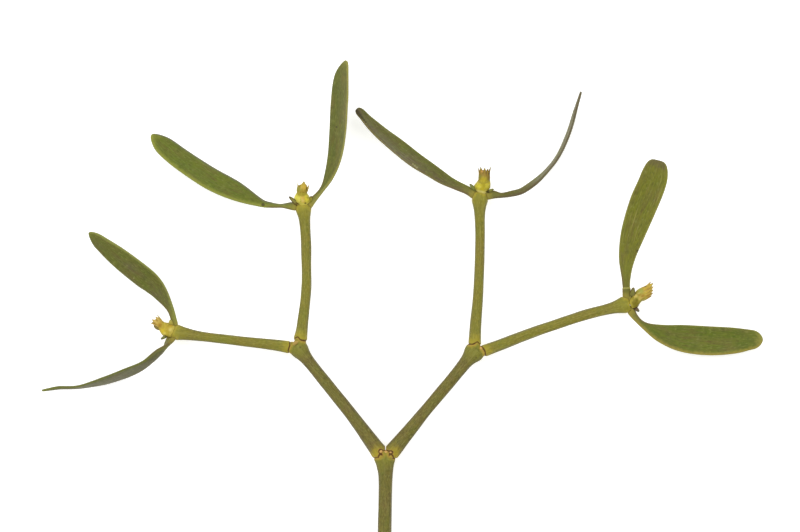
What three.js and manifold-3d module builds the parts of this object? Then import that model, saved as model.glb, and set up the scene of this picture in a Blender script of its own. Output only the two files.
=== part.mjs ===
// A cut mistletoe sprig that lies on a surface: forked stem segments, paired leaves and flower heads.
// Millimetres, +Z up. The surface is z = 0, and the cut end of the stem points along -Y.
// It touches the surface at the cut end and at the low margins of two leaves that stand on edge.
import * as THREE from "three";
import Module from "manifold-3d";

const wasm = await Module();
wasm.setup();

// Driving dimensions in millimetres
const seatGap = 0.3; // between a piece and what it grows from
const bladeThickness = 1.0;
const petioleThickness = 2.0;
const petioleLength = 14;
const edgePower = 3; // how full the blade's section stays towards its margins
const knuckleLength = 3;
const headDepthShare = 0.88; // how deep a flower head is, as a share of its width
const crownWall = 0.5;
const crownRim = 0.25; // the wall's thickness at the tips of the teeth
const crownFloor = 0.6; // height of the crown's solid foot, as a share of its lowest notch
const scaleThickness = 0.65;
const smallestEdge = 0.01; // slivers that a cut leaves are smoothed away below this size

// Steps in each loft
const stemSides = 16;
const ringsPerStemStation = 2;
const bladeRings = 13;
const tipRings = 4;
const tipSweep = 84; // degrees of the round tip that the last rings cover, the end itself stays blunt
const bladeColumns = [-1, -0.86, -0.45, 0, 0.45, 0.86, 1];
const scaleColumns = [-1, -0.6, 0, 0.6, 1];
const scaleShares = [0, 0.35, 0.7, 0.95];
const cupSides = 16;
const shellShares = [0, 0.35, 0.7, 1]; // rings of the crown's wall, from its foot to its edge
const toothShares = [0, 0.25, 0.5, 0.75]; // points of the crown's edge from one tooth to the next
const budTurns = [-80, -45, 0, 45, 80]; // degrees from a bud's foot to its top
const budSides = 10;

const palette = {
  stem: { color: "#7d7a3c", roughness: 0.5 },
  youngStem: { color: "#8f8c3a", roughness: 0.48 },
  leaf: { color: "#6f7a36", roughness: 0.42 },
  cup: { color: "#c3b43a", roughness: 0.5 },
  crown: { color: "#c9a441", roughness: 0.55 },
  scale: { color: "#5f5a34", roughness: 0.65 },
};

// Each row is a station of the segment: x, y, z, half width across the fork's plane, half depth.
// A knuckle is a short round stub that carries the next segment: its end, heading in degrees, half
// width and half depth.
const stems = {
  stem_main: {
    skin: "stem",
    stations: [
      [-5.8, -84, 2.2, 2.2, 2.2],
      [-5.8, -70, 2.9, 2.2, 2.2],
      [-5.5, -56, 3.6, 2.25, 2.2],
      [-5.65, -51, 3.9, 2.8, 2.5],
      [-5.75, -48.4, 4, 3.5, 2.8],
      [-5.75, -47.3, 4.1, 3.15, 2.4],
    ],
    knuckles: [
      { end: [-5.4, -45.8, 4.2], heading: 90, radius: 2.1, depth: 2.65 },
    ],
  },
  stem_left: {
    skin: "stem",
    grownFrom: "stem_main",
    stations: [
      [-6.9, -46.9, 4.2, 2.75, 2.35],
      [-9.5, -43.6, 4.3, 2.45, 2.25],
      [-17, -33.6, 4.7, 1.95, 1.95],
      [-24.5, -24.2, 5.1, 1.95, 1.95],
      [-31.15, -15.8, 5.5, 1.98, 2],
      [-33.95, -12.2, 5.7, 2.9, 2.5],
      [-35.2, -10.7, 5.7, 2.85, 2.3],
    ],
    knuckles: [
      { end: [-37.5, -11.3, 5.7], heading: 174, radius: 1.95, depth: 1.95 },
      { end: [-33.8, -8.3, 5.8], heading: 86, radius: 1.95, depth: 1.85 },
    ],
  },
  stem_right: {
    skin: "stem",
    grownFrom: "stem_main",
    stations: [
      [-4.1, -46.9, 4.2, 2.75, 2.35],
      [-1.3, -43.6, 4.3, 2.5, 2.25],
      [6.3, -34.3, 4.7, 2, 1.95],
      [13.7, -25.5, 5.1, 1.95, 1.95],
      [20.9, -16.6, 5.6, 2.15, 2.05],
      [23.6, -13.3, 5.8, 3.2, 2.5],
      [24.9, -11.8, 5.9, 3.1, 2.3],
    ],
    knuckles: [
      { end: [24.25, -10.1, 6], heading: 88, radius: 2.05, depth: 2 },
      { end: [27.3, -12.4, 5.9], heading: 12, radius: 1.75, depth: 1.75 },
    ],
  },
  stem_left_outer: {
    skin: "youngStem",
    grownFrom: "stem_left",
    stations: [
      [-37.9, -11.2, 5.7, 2.05, 1.9],
      [-43, -10.4, 5.7, 1.85, 1.75],
      [-55, -9.05, 5.7, 1.6, 1.55],
      [-67, -7.6, 5.8, 1.6, 1.55],
      [-72.4, -6.7, 5.9, 2.1, 1.8],
      [-75.2, -6.2, 6, 2.65, 2.2],
      [-76.6, -5.9, 6, 2.2, 1.8],
    ],
  },
  stem_left_inner: {
    skin: "youngStem",
    grownFrom: "stem_left",
    stations: [
      [-33.75, -7.9, 5.8, 2.25, 2],
      [-33.1, -3.5, 5.9, 1.85, 1.8],
      [-31.85, 9, 6.3, 1.65, 1.62],
      [-31.9, 22, 6.7, 1.68, 1.64],
      [-32.35, 31, 7, 1.88, 1.75],
      [-32.75, 35, 7.1, 2.8, 2.2],
      [-32.8, 36.2, 7.2, 2.3, 1.8],
    ],
  },
  stem_right_inner: {
    skin: "youngStem",
    grownFrom: "stem_right",
    stations: [
      [24.2, -9.7, 6, 2.15, 2],
      [24.5, -4, 6, 1.88, 1.8],
      [25.45, 9, 6.2, 1.65, 1.65],
      [25.95, 24, 6.4, 1.6, 1.6],
      [25.9, 33.4, 6.6, 1.8, 1.7],
      [25.95, 38.2, 6.7, 2.75, 2.2],
      [26.35, 40.1, 6.7, 2.15, 1.7],
    ],
  },
  stem_right_outer: {
    skin: "youngStem",
    grownFrom: "stem_right",
    stations: [
      [27.7, -12.3, 5.9, 1.95, 1.85],
      [33, -10.3, 6, 1.8, 1.75],
      [46, -5.45, 6.2, 1.7, 1.68],
      [60, -0.8, 6.5, 1.7, 1.65],
      [69.4, 1.7, 6.8, 1.85, 1.75],
      [74, 2.9, 6.9, 2.85, 2.2],
      [75.7, 3.3, 7, 2.4, 1.8],
    ],
  },
};

// The bisector that parts the two segments of a fork: a point on it, and its heading in degrees.
const forks = [
  { left: "stem_left", right: "stem_right", point: [-5.5, -45, 4.2], heading: 90 },
  { left: "stem_left_outer", right: "stem_left_inner", point: [-35.6, -10, 5.7], heading: 131 },
  { left: "stem_right_inner", right: "stem_right_outer", point: [25.6, -11.2, 5.9], heading: 50 },
];

// Each row is a station of the leaf: x, y, z of the midrib, half width, roll and curl in degrees.
// Roll lifts the right margin, seen along the growth. Curl is half the arc that the section makes.
// A tip is half an ellipse, and squarer where it has a tipPower below 1.
const leaves = {
  leaf_left_upper: {
    node: "left",
    tipLength: 5,
    stations: [
      [-75.8, -4.8, 6.2, 1.65, 0, 0],
      [-75.95, -2.2, 6.3, 1.05, 0, 0],
      [-77.3, 1.9, 6.6, 1.35, 12, 10],
      [-80.4, 6.8, 7, 2.85, 24, 14],
      [-83.1, 9.95, 7.15, 3.8, 28, 14],
      [-86.7, 12.85, 7.2, 4.25, 30, 14],
      [-94.1, 18.6, 6.8, 4, 30, 12],
      [-100.2, 23.4, 5.9, 2.95, 28, 10],
      [-104.4, 27, 4.9, 1.7, 26, 8],
    ],
  },
  leaf_left_lower: {
    node: "left",
    tipLength: 5,
    stations: [
      [-75.5, -6.5, 6, 1.75, -40, 0],
      [-77.8, -9.3, 5.9, 1.85, -58, 50],
      [-80.85, -12.8, 5.5, 2.1, -118, 64],
      [-85.2, -16.6, 5, 3, -114, 8],
      [-92.2, -20, 4.4, 4.4, -112, 8],
      [-99.5, -22.6, 4.3, 4.25, -108, 8],
      [-107.5, -24.5, 4.4, 2.9, -98, 6],
      [-114.5, -24.8, 4.6, 1.9, -95, 6],
      [-120.1, -25.7, 4.8, 1.1, -92, 4],
    ],
  },
  leaf_upper_left_outer: {
    node: "upper_left",
    tipLength: 6,
    stations: [
      [-33.4, 35.4, 7.2, 1.6, 0, 0],
      [-37, 35.8, 7.2, 1.3, -5, 0],
      [-40.2, 35.85, 7.2, 0.7, -10, 0],
      [-43.6, 36.1, 7.2, 0.95, -14, 2],
      [-47.2, 36.95, 7.1, 1.55, -22, 8],
      [-55.8, 40.85, 6.8, 4, -34, 12],
      [-64.2, 45.1, 6.2, 4.7, -38, 14],
      [-72.2, 50.2, 5.4, 4.6, -37, 12],
      [-78.7, 55.3, 4.5, 3.9, -34, 10],
      [-83.6, 59.7, 3.9, 2.5, -30, 8],
    ],
  },
  leaf_upper_left_inner: {
    node: "upper_left",
    tipLength: 6,
    tipPower: 0.85,
    stations: [
      [-31.6, 35.4, 7.3, 1.6, 0, 0],
      [-29.7, 37.6, 7.4, 1.15, 8, 0],
      [-26.4, 41.5, 7.8, 1, 25, 8],
      [-24.1, 46, 8.2, 2.2, 38, 16],
      [-22.05, 52.8, 8.8, 3.75, 48, 20],
      [-20.9, 61, 9.4, 4.75, 52, 24],
      [-20.5, 70, 9.9, 4.75, 52, 24],
      [-20.05, 78, 10.2, 3.9, 50, 18],
      [-18.5, 84, 10.4, 2, 44, 10],
    ],
  },
  leaf_upper_right_inner: {
    node: "upper_right",
    tipLength: 3.5,
    tipPower: 0.7,
    stations: [
      [25.3, 38.9, 6.7, 1.9, 0, 0],
      [21.8, 41, 6.8, 1.45, -8, 0],
      [16.5, 43.4, 6.9, 1.85, -20, 10],
      [11.1, 46.6, 6.9, 2.9, -38, 18],
      [4.4, 50.9, 6.8, 4.1, -50, 24],
      [-2.65, 56.2, 6.6, 4.4, -52, 26],
      [-8.5, 61.2, 6.4, 3.4, -50, 22],
      [-12.3, 65.2, 6.2, 2.3, -46, 16],
      [-15.05, 68.25, 6.1, 1.8, -40, 10],
    ],
  },
  leaf_upper_right_outer: {
    node: "upper_right",
    tipLength: 5,
    stations: [
      [27.4, 39.2, 6.6, 1.7, 0, 0],
      [30.2, 39.6, 6.5, 1.45, 8, 0],
      [33.1, 39.35, 6.4, 0.95, 24, 2],
      [36.2, 39.9, 6.2, 1.2, 42, 4],
      [40.6, 41.25, 5.9, 1.95, 60, 4],
      [46.5, 45.6, 5.3, 3.7, 75.5, 4],
      [51.7, 52, 4.8, 4.65, 82.5, 4],
      [55.6, 60.4, 4.6, 4.5, 88, 4],
      [58.1, 68.6, 4.7, 3.2, 89, 4],
      [59.7, 74, 4.8, 1.6, 89, 4],
    ],
  },
  leaf_right_upper: {
    node: "right",
    tipLength: 6,
    tipPower: 0.5,
    stations: [
      [75.3, 3.9, 7, 2, 0, 0],
      [74.7, 7.4, 7.2, 1.25, 0, 0],
      [74.5, 12.4, 7.6, 1.6, -6, 8],
      [74.85, 19, 8.2, 2.9, -10, 14],
      [76.75, 27, 9, 4.3, -12, 18],
      [79.9, 36, 9.8, 5, -12, 18],
      [83, 43.6, 10.4, 4.85, -12, 14],
      [84.85, 50.95, 10.8, 4.3, -12, 8],
    ],
  },
  leaf_right_lower: {
    node: "right",
    tipLength: 5,
    stations: [
      [75.6, 2.5, 6.9, 2, 0, 0],
      [77.2, -0.7, 6.9, 1.15, 0, 0],
      [80.45, -3.85, 6.8, 1.2, 4, 8],
      [86.1, -6.6, 6.4, 3.05, 8, 14],
      [93, -8.25, 5.7, 4.6, 8, 16],
      [101.5, -9.1, 4.7, 4.95, 7, 16],
      [110.5, -9.1, 3.5, 4.45, 6, 12],
      [116.5, -8.8, 2.8, 3.4, 5, 8],
      [120.6, -8.7, 2.4, 2.6, 4, 6],
    ],
  },
};

// A head's heading is measured in degrees from +X. Rows of its cup and of its crown are a distance
// along its axis, the half width to the left and the half width to the right. A tooth of the crown is
// its place round the axis in degrees, from the right over the top, and how far it reaches.
const heads = {
  left: {
    stem: "stem_left_outer",
    origin: [-76.5, -5.7, 6.1],
    heading: 148,
    cup: [
      [-0.8, 2.1, 1.9],
      [0.3, 2.85, 2.25],
      [1.3, 3.05, 2.15],
      [2.2, 2.95, 1.75],
      [3, 2.6, 1.3],
      [3.7, 2.2, 1.1],
      [4.3, 1.9, 1.12],
    ],
    crown: [
      [4.1, 1.86, 1.1],
      [4.8, 1.75, 1.25],
      [5.6, 1.65, 1.5],
      [6.4, 1.68, 1.75],
      [7.6, 1.8, 1.95],
    ],
    teeth: [
      [14, 6.95],
      [56, 7.3],
      [102, 7.75],
      [160, 7.6],
      [222, 7.3],
      [290, 7.1],
    ],
    toothDepth: 0.9,
    toothRoundness: 0,
    sideBud: { along: 4.85, across: -1.7, high: -0.5, size: [1.4, 0.8, 0.85] },
  },
  upper_left: {
    stem: "stem_left_inner",
    origin: [-32.8, 35.8, 7.3],
    heading: 89,
    cup: [
      [-0.8, 1.4, 1.5],
      [0.45, 1.7, 1.8],
      [1.2, 2.4, 2.35],
      [2, 3, 2.45],
      [2.7, 3.12, 2.25],
      [3.7, 2.72, 1.6],
      [4.6, 2.26, 1.12],
    ],
    crown: [
      [4.4, 2.35, 1.3],
      [5.2, 2.4, 1.5],
      [5.8, 2.35, 1.66],
      [6.5, 2.15, 1.76],
      [8.2, 2.05, 2],
    ],
    teeth: [
      [6, 7.35],
      [86, 8.3],
      [170, 7.7],
      [232, 7.3],
      [300, 7.2],
    ],
    toothDepth: 1.15,
    toothRoundness: 0,
  },
  upper_right: {
    stem: "stem_right_inner",
    origin: [26.6, 39.6, 6.7],
    heading: 88,
    cup: [
      [0.1, 1.5, 1.35],
      [0.6, 1.8, 1.6],
      [1.1, 2.1, 1.9],
      [1.8, 2.6, 2.35],
      [2.5, 2.9, 2.72],
      [3.3, 2.55, 2.75],
      [4.2, 1.85, 2.66],
      [4.9, 1.55, 2.6],
    ],
    crown: [
      [4.7, 1.52, 2.58],
      [5.6, 1.45, 2.6],
      [6.6, 1.4, 2.5],
      [7.6, 1.45, 2.5],
      [9.3, 1.75, 2.7],
    ],
    teeth: [
      [20, 9.4],
      [55, 8.9],
      [86, 9.2],
      [126, 9.35],
      [172, 9],
      [235, 8.7],
      [300, 8.6],
    ],
    toothDepth: 1.15,
    toothRoundness: 0,
  },
  right: {
    stem: "stem_right_outer",
    origin: [76.3, 3.4, 7.1],
    heading: 35,
    cup: [
      [-0.7, 1.5, 1.9],
      [0.2, 1.75, 2.1],
      [1, 1.85, 2.2],
      [1.7, 2.05, 1.95],
      [2.5, 2.3, 1.6],
      [3.3, 2.5, 1.5],
    ],
    crown: [
      [3.1, 2.46, 1.48],
      [4, 2.6, 1.76],
      [5, 2.6, 1.92],
      [6.2, 2.4, 1.95],
      [7.2, 2.2, 1.88],
      [8.2, 2.2, 1.7],
      [9.6, 2.35, 1.5],
    ],
    teeth: [
      [10, 7],
      [42, 7.9],
      [68, 8.6],
      [92, 9.3],
      [120, 9.75],
      [170, 9.5],
      [232, 8.8],
      [300, 7.8],
    ],
    toothDepth: 0.8,
    toothRoundness: 0.8,
  },
};

// Each scale is a short curled blade from its root to its tip, both x, y, z.
const scales = {
  scale_left_1: {
    node: "left",
    root: [-76.7, -4.3, 7.4],
    tip: [-77, -2, 7.7],
    halfWidth: 0.8,
  },
  scale_left_2: {
    node: "left",
    root: [-78, -7.2, 7.3],
    tip: [-80.15, -8.5, 7.7],
    halfWidth: 0.62,
  },
  scale_upper_left_1: {
    node: "upper_left",
    root: [-34.7, 36.3, 8],
    tip: [-37.5, 38.9, 8.9],
    halfWidth: 0.8,
  },
  scale_upper_left_2: {
    node: "upper_left",
    root: [-31, 36.9, 8],
    tip: [-30, 39.1, 8.6],
    halfWidth: 0.72,
  },
  scale_upper_right_1: {
    node: "upper_right",
    root: [24.6, 40.8, 7.4],
    tip: [22.5, 43.1, 8.1],
    halfWidth: 0.7,
  },
  scale_upper_right_2: {
    node: "upper_right",
    root: [28.3, 40.5, 7.5],
    tip: [30.5, 41.4, 8.1],
    halfWidth: 0.55,
  },
  scale_right_1: {
    node: "right",
    root: [76.2, 5, 7.8],
    tip: [76.9, 8.7, 8.6],
    halfWidth: 1.1,
  },
  scale_right_2: {
    node: "right",
    root: [77.2, 2.2, 7.8],
    tip: [78.8, 0.65, 8.3],
    halfWidth: 0.75,
  },
};
const scaleCurl = 55; // degrees that each half of a scale bends
const scaleArch = 0.5; // how far a scale bows up between its root and its tip

const blockSize = 60; // larger than the foot of any segment that a fork's bisector cuts

const up = new THREE.Vector3(0, 0, 1);
const radians = THREE.MathUtils.degToRad;

// Smooth line through rows of numbers: gives the row at t from 0 to 1
function through(rows) {
  const curves = [0, 3].map(
    (first) =>
      new THREE.CatmullRomCurve3(
        rows.map((row) => new THREE.Vector3(...[0, 1, 2].map((k) => row[first + k] ?? 0))),
        false,
        "catmullrom",
      ),
  );
  return {
    centre: (t) => curves[0].getPoint(t),
    tangent: (t) => curves[0].getTangent(t),
    shape: (t) => curves[1].getPoint(t),
  };
}

// Directions at a point of a line: across it in the surface's plane, and square to both
function frameOf(tangent) {
  const side = new THREE.Vector3().crossVectors(tangent, up).normalize();
  return { side, normal: new THREE.Vector3().crossVectors(side, tangent) };
}

// Closed solid from rings of equally many points, with a fan on each end.
// folded rings run out over one face and back under the other, and both faces split alike.
function loft(rings, folded = false) {
  const count = rings[0].length;
  const positions = rings.flat();
  const faces = [];
  for (let i = 0; i + 1 < rings.length; i++) {
    for (let k = 0; k < count; k++) {
      const a = i * count + k;
      const b = i * count + ((k + 1) % count);
      const under = folded && k >= count / 2;
      if (under) faces.push([a, a + count, b], [b, a + count, b + count]);
      else faces.push([a, b + count, b], [a, a + count, b + count]);
    }
  }
  for (const [ring, last] of [[rings[0], false], [rings.at(-1), true]]) {
    const centre = ring.reduce((sum, p) => sum.add(p), new THREE.Vector3()).divideScalar(count);
    const hub = positions.push(centre) - 1;
    const first = last ? (rings.length - 1) * count : 0;
    for (let k = 0; k < count; k++) {
      const a = first + k;
      const b = first + ((k + 1) % count);
      faces.push(last ? [hub, b, a] : [hub, a, b]);
    }
  }
  const vertProperties = new Float32Array(positions.flatMap((p) => p.toArray()));
  return new wasm.Manifold(
    new wasm.Mesh({ numProp: 3, vertProperties, triVerts: new Uint32Array(faces.flat()) }),
  );
}

// Ring round a centre with an elliptical section
function ellipse(centre, side, normal, halfWidth, halfDepth, sides) {
  return Array.from({ length: sides }, (_, k) => {
    const angle = (2 * Math.PI * k) / sides;
    return centre
      .clone()
      .addScaledVector(side, halfWidth * Math.cos(angle))
      .addScaledVector(normal, halfDepth * Math.sin(angle));
  });
}

// Short round stub that ends flat at a joint
function knuckleSolid({ end, heading, radius, depth }, grow) {
  const tangent = new THREE.Vector3(Math.cos(radians(heading)), Math.sin(radians(heading)), 0);
  const { side, normal } = frameOf(tangent);
  return loft(
    [-knuckleLength, grow].map((along) => {
      const centre = new THREE.Vector3(...end).addScaledVector(tangent, along);
      return ellipse(centre, side, normal, radius + grow, depth + grow, stemSides);
    }),
  );
}

function stemSolid(stem, grow = 0) {
  const line = through(stem.stations);
  const steps = (stem.stations.length - 1) * ringsPerStemStation;
  const rings = [];
  for (let i = 0; i <= steps; i++) {
    const t = i / steps;
    const tangent = line.tangent(t);
    const { side, normal } = frameOf(tangent);
    const shape = line.shape(t);
    const ends = i === 0 ? -grow : i === steps ? grow : 0;
    const centre = line.centre(t).addScaledVector(tangent, ends);
    rings.push(ellipse(centre, side, normal, shape.x + grow, shape.y + grow, stemSides));
  }
  const knuckles = stem.knuckles ?? [];
  return knuckles.reduce((solid, knuckle) => solid.add(knuckleSolid(knuckle, grow)), loft(rings));
}

// Section of a blade at one station: over the top from the right margin to the left, and back below
function bladeRing(centre, tangent, halfWidth, roll, curl, thickness, columns) {
  const { side, normal } = frameOf(tangent);
  side.applyAxisAngle(tangent, -roll);
  normal.applyAxisAngle(tangent, -roll);
  const place = (s, face) => {
    const angle = curl * s;
    const flat = Math.abs(curl) < 1e-3;
    const across = flat ? halfWidth * s : (halfWidth * Math.sin(angle)) / curl;
    const rise = flat ? 0 : (halfWidth * ((1 + Math.cos(curl)) / 2 - Math.cos(angle))) / curl;
    const depth = (face * thickness * Math.sqrt(1 - Math.abs(s) ** edgePower)) / 2;
    return centre
      .clone()
      .addScaledVector(side, across - depth * Math.sin(angle))
      .addScaledVector(normal, rise + depth * Math.cos(angle));
  };
  const inner = columns.slice(1, -1);
  return [
    place(columns.at(-1), 0),
    ...inner.toReversed().map((s) => place(s, 1)),
    place(columns[0], 0),
    ...inner.map((s) => place(s, -1)),
  ];
}

function leafSolid(leaf, grow = 0) {
  const line = through(leaf.stations);
  const length = new THREE.CatmullRomCurve3(
    leaf.stations.map(([x, y, z]) => new THREE.Vector3(x, y, z)),
  ).getLength();
  const tipStart = 1 - leaf.tipLength / length;
  const steps = [];
  for (let i = 0; i < bladeRings; i++) steps.push({ t: (tipStart * i) / bladeRings, close: 1 });
  for (let i = 0; i <= tipRings; i++) {
    const angle = radians((tipSweep * i) / tipRings);
    steps.push({
      t: tipStart + (1 - tipStart) * Math.sin(angle),
      close: Math.cos(angle) ** (leaf.tipPower ?? 1),
    });
  }
  const rings = steps.map(({ t, close }, i) => {
    const tangent = line.tangent(t);
    const shape = line.shape(t);
    const petiole = 1 - THREE.MathUtils.smoothstep(t * length, 0, petioleLength);
    const thickness = THREE.MathUtils.lerp(bladeThickness, petioleThickness, petiole);
    const centre = line.centre(t).addScaledVector(tangent, i === 0 ? -grow : 0);
    return bladeRing(
      centre,
      tangent,
      shape.x * close + grow,
      radians(shape.y),
      radians(shape.z),
      thickness + 2 * grow,
      bladeColumns,
    );
  });
  return loft(rings, true);
}

function scaleSolid(scale) {
  const root = new THREE.Vector3(...scale.root);
  const tip = new THREE.Vector3(...scale.tip);
  const middle = root.clone().lerp(tip, 0.5).addScaledVector(up, scaleArch);
  const line = new THREE.QuadraticBezierCurve3(root, middle, tip);
  const rings = scaleShares.map((t) =>
    bladeRing(
      line.getPoint(t),
      line.getTangent(t),
      scale.halfWidth * Math.sqrt(1 - t * t),
      0,
      radians(scaleCurl),
      scaleThickness,
      scaleColumns,
    ),
  );
  return loft(rings, true);
}

// Axis, side and normal of a flower head, and a point at a distance along and across it
function headFrame(head) {
  const axis = new THREE.Vector3(Math.cos(radians(head.heading)), Math.sin(radians(head.heading)), 0);
  const { side, normal } = frameOf(axis);
  const origin = new THREE.Vector3(...head.origin);
  const at = (along, across = 0, high = 0) =>
    origin
      .clone()
      .addScaledVector(axis, along)
      .addScaledVector(side, across)
      .addScaledVector(normal, high);
  return { side, normal, at };
}

// Middle and half width of a head's outline at a distance along it
function outlineAt(rows, along) {
  const next = rows.findIndex((row) => row[0] >= along);
  const end = rows[next === -1 ? rows.length - 1 : Math.max(next, 1)];
  const start = rows[rows.indexOf(end) - 1];
  const share = THREE.MathUtils.clamp((along - start[0]) / (end[0] - start[0]), 0, 1);
  const left = THREE.MathUtils.lerp(start[1], end[1], share);
  const right = THREE.MathUtils.lerp(start[2], end[2], share);
  return { middle: (right - left) / 2, half: (left + right) / 2 };
}

// Rounded bud at a distance along, across and above the head's axis
function budSolid(frame, { along, across, high, size }, grow) {
  const [length, width, depth] = size.map((value) => value + grow);
  return loft(
    budTurns.map((degrees) => {
      const fullness = Math.cos(radians(degrees));
      const centre = frame.at(along + length * Math.sin(radians(degrees)), across, high);
      return ellipse(centre, frame.side, frame.normal, width * fullness, depth * fullness, budSides);
    }),
  );
}

function cupSolid(head, grow = 0) {
  const frame = headFrame(head);
  const rings = head.cup.map(([along, left, right], i) => {
    const ends = i === 0 ? -grow : i === head.cup.length - 1 ? grow : 0;
    const centre = frame.at(along + ends, (right - left) / 2);
    const half = (left + right) / 2;
    return ellipse(centre, frame.side, frame.normal, half + grow, half * headDepthShare + grow, cupSides);
  });
  const cup = loft(rings);
  return head.sideBud ? cup.add(budSolid(frame, head.sideBud, grow)) : cup;
}

// Points of the crown's edge: angle round the axis and distance along it, from tooth to tooth
function crownEdge(head) {
  return head.teeth.flatMap(([turn, reach], i) => {
    const last = i === head.teeth.length - 1;
    const [nextTurn, nextReach] = head.teeth[last ? 0 : i + 1];
    const width = nextTurn + (last ? 360 : 0) - turn;
    return toothShares.map((share) => {
      const tip = THREE.MathUtils.lerp(reach, nextReach, THREE.MathUtils.smoothstep(share, 0, 1));
      const pointed = 1 - (2 * share - 1) ** 2;
      const rounded = Math.sin(Math.PI * share) ** 2;
      const drop = THREE.MathUtils.lerp(pointed, rounded, head.toothRoundness);
      return { angle: radians(turn + width * share), along: tip - head.toothDepth * drop };
    });
  });
}

// Crown of tepals that have grown together: a solid foot, then a wall with a toothed edge
function crownSolid(head) {
  const frame = headFrame(head);
  const edge = crownEdge(head);
  const foot = head.crown[0][0];
  const floor = foot + crownFloor * (Math.min(...edge.map((point) => point.along)) - foot);
  const ring = (base, share, inset) =>
    edge.map((point) => {
      const along = THREE.MathUtils.lerp(base, point.along, share);
      const { middle, half } = outlineAt(head.crown, along);
      const across = middle + (half - inset) * Math.cos(point.angle);
      return frame.at(along, across, headDepthShare * (half - inset) * Math.sin(point.angle));
    });
  return loft([
    ...shellShares.map((share) => ring(foot, share, 0)),
    ring(floor, 1, crownRim),
    ring(floor, 0.5, crownWall),
    ring(floor, 0, crownWall),
  ]);
}

// Half of space on one side of a fork's bisector, as a large block set back by half the gap
function forkBlock(fork, sign) {
  const block = new THREE.BoxGeometry(blockSize, blockSize, blockSize);
  const across = radians(fork.heading - 90);
  const centre = new THREE.Vector3(...fork.point).add(
    new THREE.Vector3(Math.cos(across), Math.sin(across), 0).multiplyScalar(
      (sign * (blockSize - seatGap)) / 2,
    ),
  );
  block.rotateZ(across).translate(...centre.toArray());
  return fromGeometry(block);
}

// Manifold solid from a geometry of the modelling library, with its shared corners merged
function fromGeometry(geometry) {
  const position = geometry.getAttribute("position");
  const corners = [];
  const index = new Map();
  const triVerts = new Uint32Array(geometry.index.count);
  for (let i = 0; i < geometry.index.count; i++) {
    const p = new THREE.Vector3().fromBufferAttribute(position, geometry.index.array[i]);
    const key = p.toArray().map((v) => v.toFixed(4)).join();
    if (!index.has(key)) index.set(key, corners.push(p) - 1);
    triVerts[i] = index.get(key);
  }
  const vertProperties = new Float32Array(corners.flatMap((p) => p.toArray()));
  return new wasm.Manifold(new wasm.Mesh({ numProp: 3, vertProperties, triVerts }));
}

const sprig = new THREE.Group();

// Adds a solid as a named mesh, without the loose scraps that a cut can leave
function addPiece(name, solid, skin) {
  const bodies = solid.simplify(smallestEdge).decompose();
  bodies.sort((a, b) => b.volume() - a.volume());
  const mesh = bodies[0].getMesh();
  const geometry = new THREE.BufferGeometry();
  const positions = new Float32Array(mesh.numVert * 3);
  for (let i = 0; i < mesh.numVert; i++) {
    const start = i * mesh.numProp;
    positions.set(mesh.vertProperties.subarray(start, start + 3), i * 3);
  }
  geometry.setAttribute("position", new THREE.BufferAttribute(positions, 3));
  geometry.setIndex(new THREE.BufferAttribute(mesh.triVerts, 1));
  geometry.computeVertexNormals();
  const { color, roughness } = palette[skin];
  const piece = new THREE.Mesh(
    geometry,
    new THREE.MeshStandardMaterial({ color, roughness, metalness: 0 }),
  );
  piece.name = name;
  sprig.add(piece);
}

function buildStems() {
  for (const [name, stem] of Object.entries(stems)) {
    let solid = stemSolid(stem);
    if (stem.grownFrom) solid = solid.subtract(stemSolid(stems[stem.grownFrom], seatGap));
    for (const fork of forks) {
      if (fork.left === name) solid = solid.subtract(forkBlock(fork, 1));
      if (fork.right === name) solid = solid.subtract(forkBlock(fork, -1));
    }
    addPiece(name, solid, stem.skin);
  }
}

function buildHeads() {
  for (const [place, head] of Object.entries(heads)) {
    const stemBelow = stemSolid(stems[head.stem], seatGap);
    const cup = cupSolid(head).subtract(stemBelow);
    addPiece(`flower_cup_${place}`, cup, "cup");
    addPiece(`flower_crown_${place}`, crownSolid(head).subtract(cupSolid(head, seatGap)), "crown");
  }
}

function buildLeaves() {
  for (const [name, leaf] of Object.entries(leaves)) {
    const head = heads[leaf.node];
    const solid = leafSolid(leaf)
      .subtract(stemSolid(stems[head.stem], seatGap))
      .subtract(cupSolid(head, seatGap));
    addPiece(name, solid, "leaf");
  }
}

function buildScales() {
  for (const [name, scale] of Object.entries(scales)) {
    const head = heads[scale.node];
    let solid = scaleSolid(scale)
      .subtract(stemSolid(stems[head.stem], seatGap))
      .subtract(cupSolid(head, seatGap));
    for (const leaf of Object.values(leaves)) {
      if (leaf.node === scale.node) solid = solid.subtract(leafSolid(leaf, seatGap));
    }
    addPiece(name, solid, "scale");
  }
}

buildStems();
buildHeads();
buildLeaves();
buildScales();

export default sprig;
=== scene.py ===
import math
import time

import bmesh
import bpy
import numpy as np
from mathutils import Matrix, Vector
from mathutils.bvhtree import BVHTree


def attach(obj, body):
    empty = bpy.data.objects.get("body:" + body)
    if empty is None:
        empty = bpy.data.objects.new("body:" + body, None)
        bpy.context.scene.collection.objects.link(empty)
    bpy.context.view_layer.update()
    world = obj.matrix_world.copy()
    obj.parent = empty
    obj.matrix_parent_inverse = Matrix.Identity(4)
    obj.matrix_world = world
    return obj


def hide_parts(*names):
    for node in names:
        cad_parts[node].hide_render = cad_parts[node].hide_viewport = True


# A cut mistletoe sprig on a white table, seen from straight above. Shapes are in millimetres until
# makePiece turns them into metres. Every point of a piece carries marks, such as its distance from a
# joint, and the materials paint by those marks.

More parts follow.
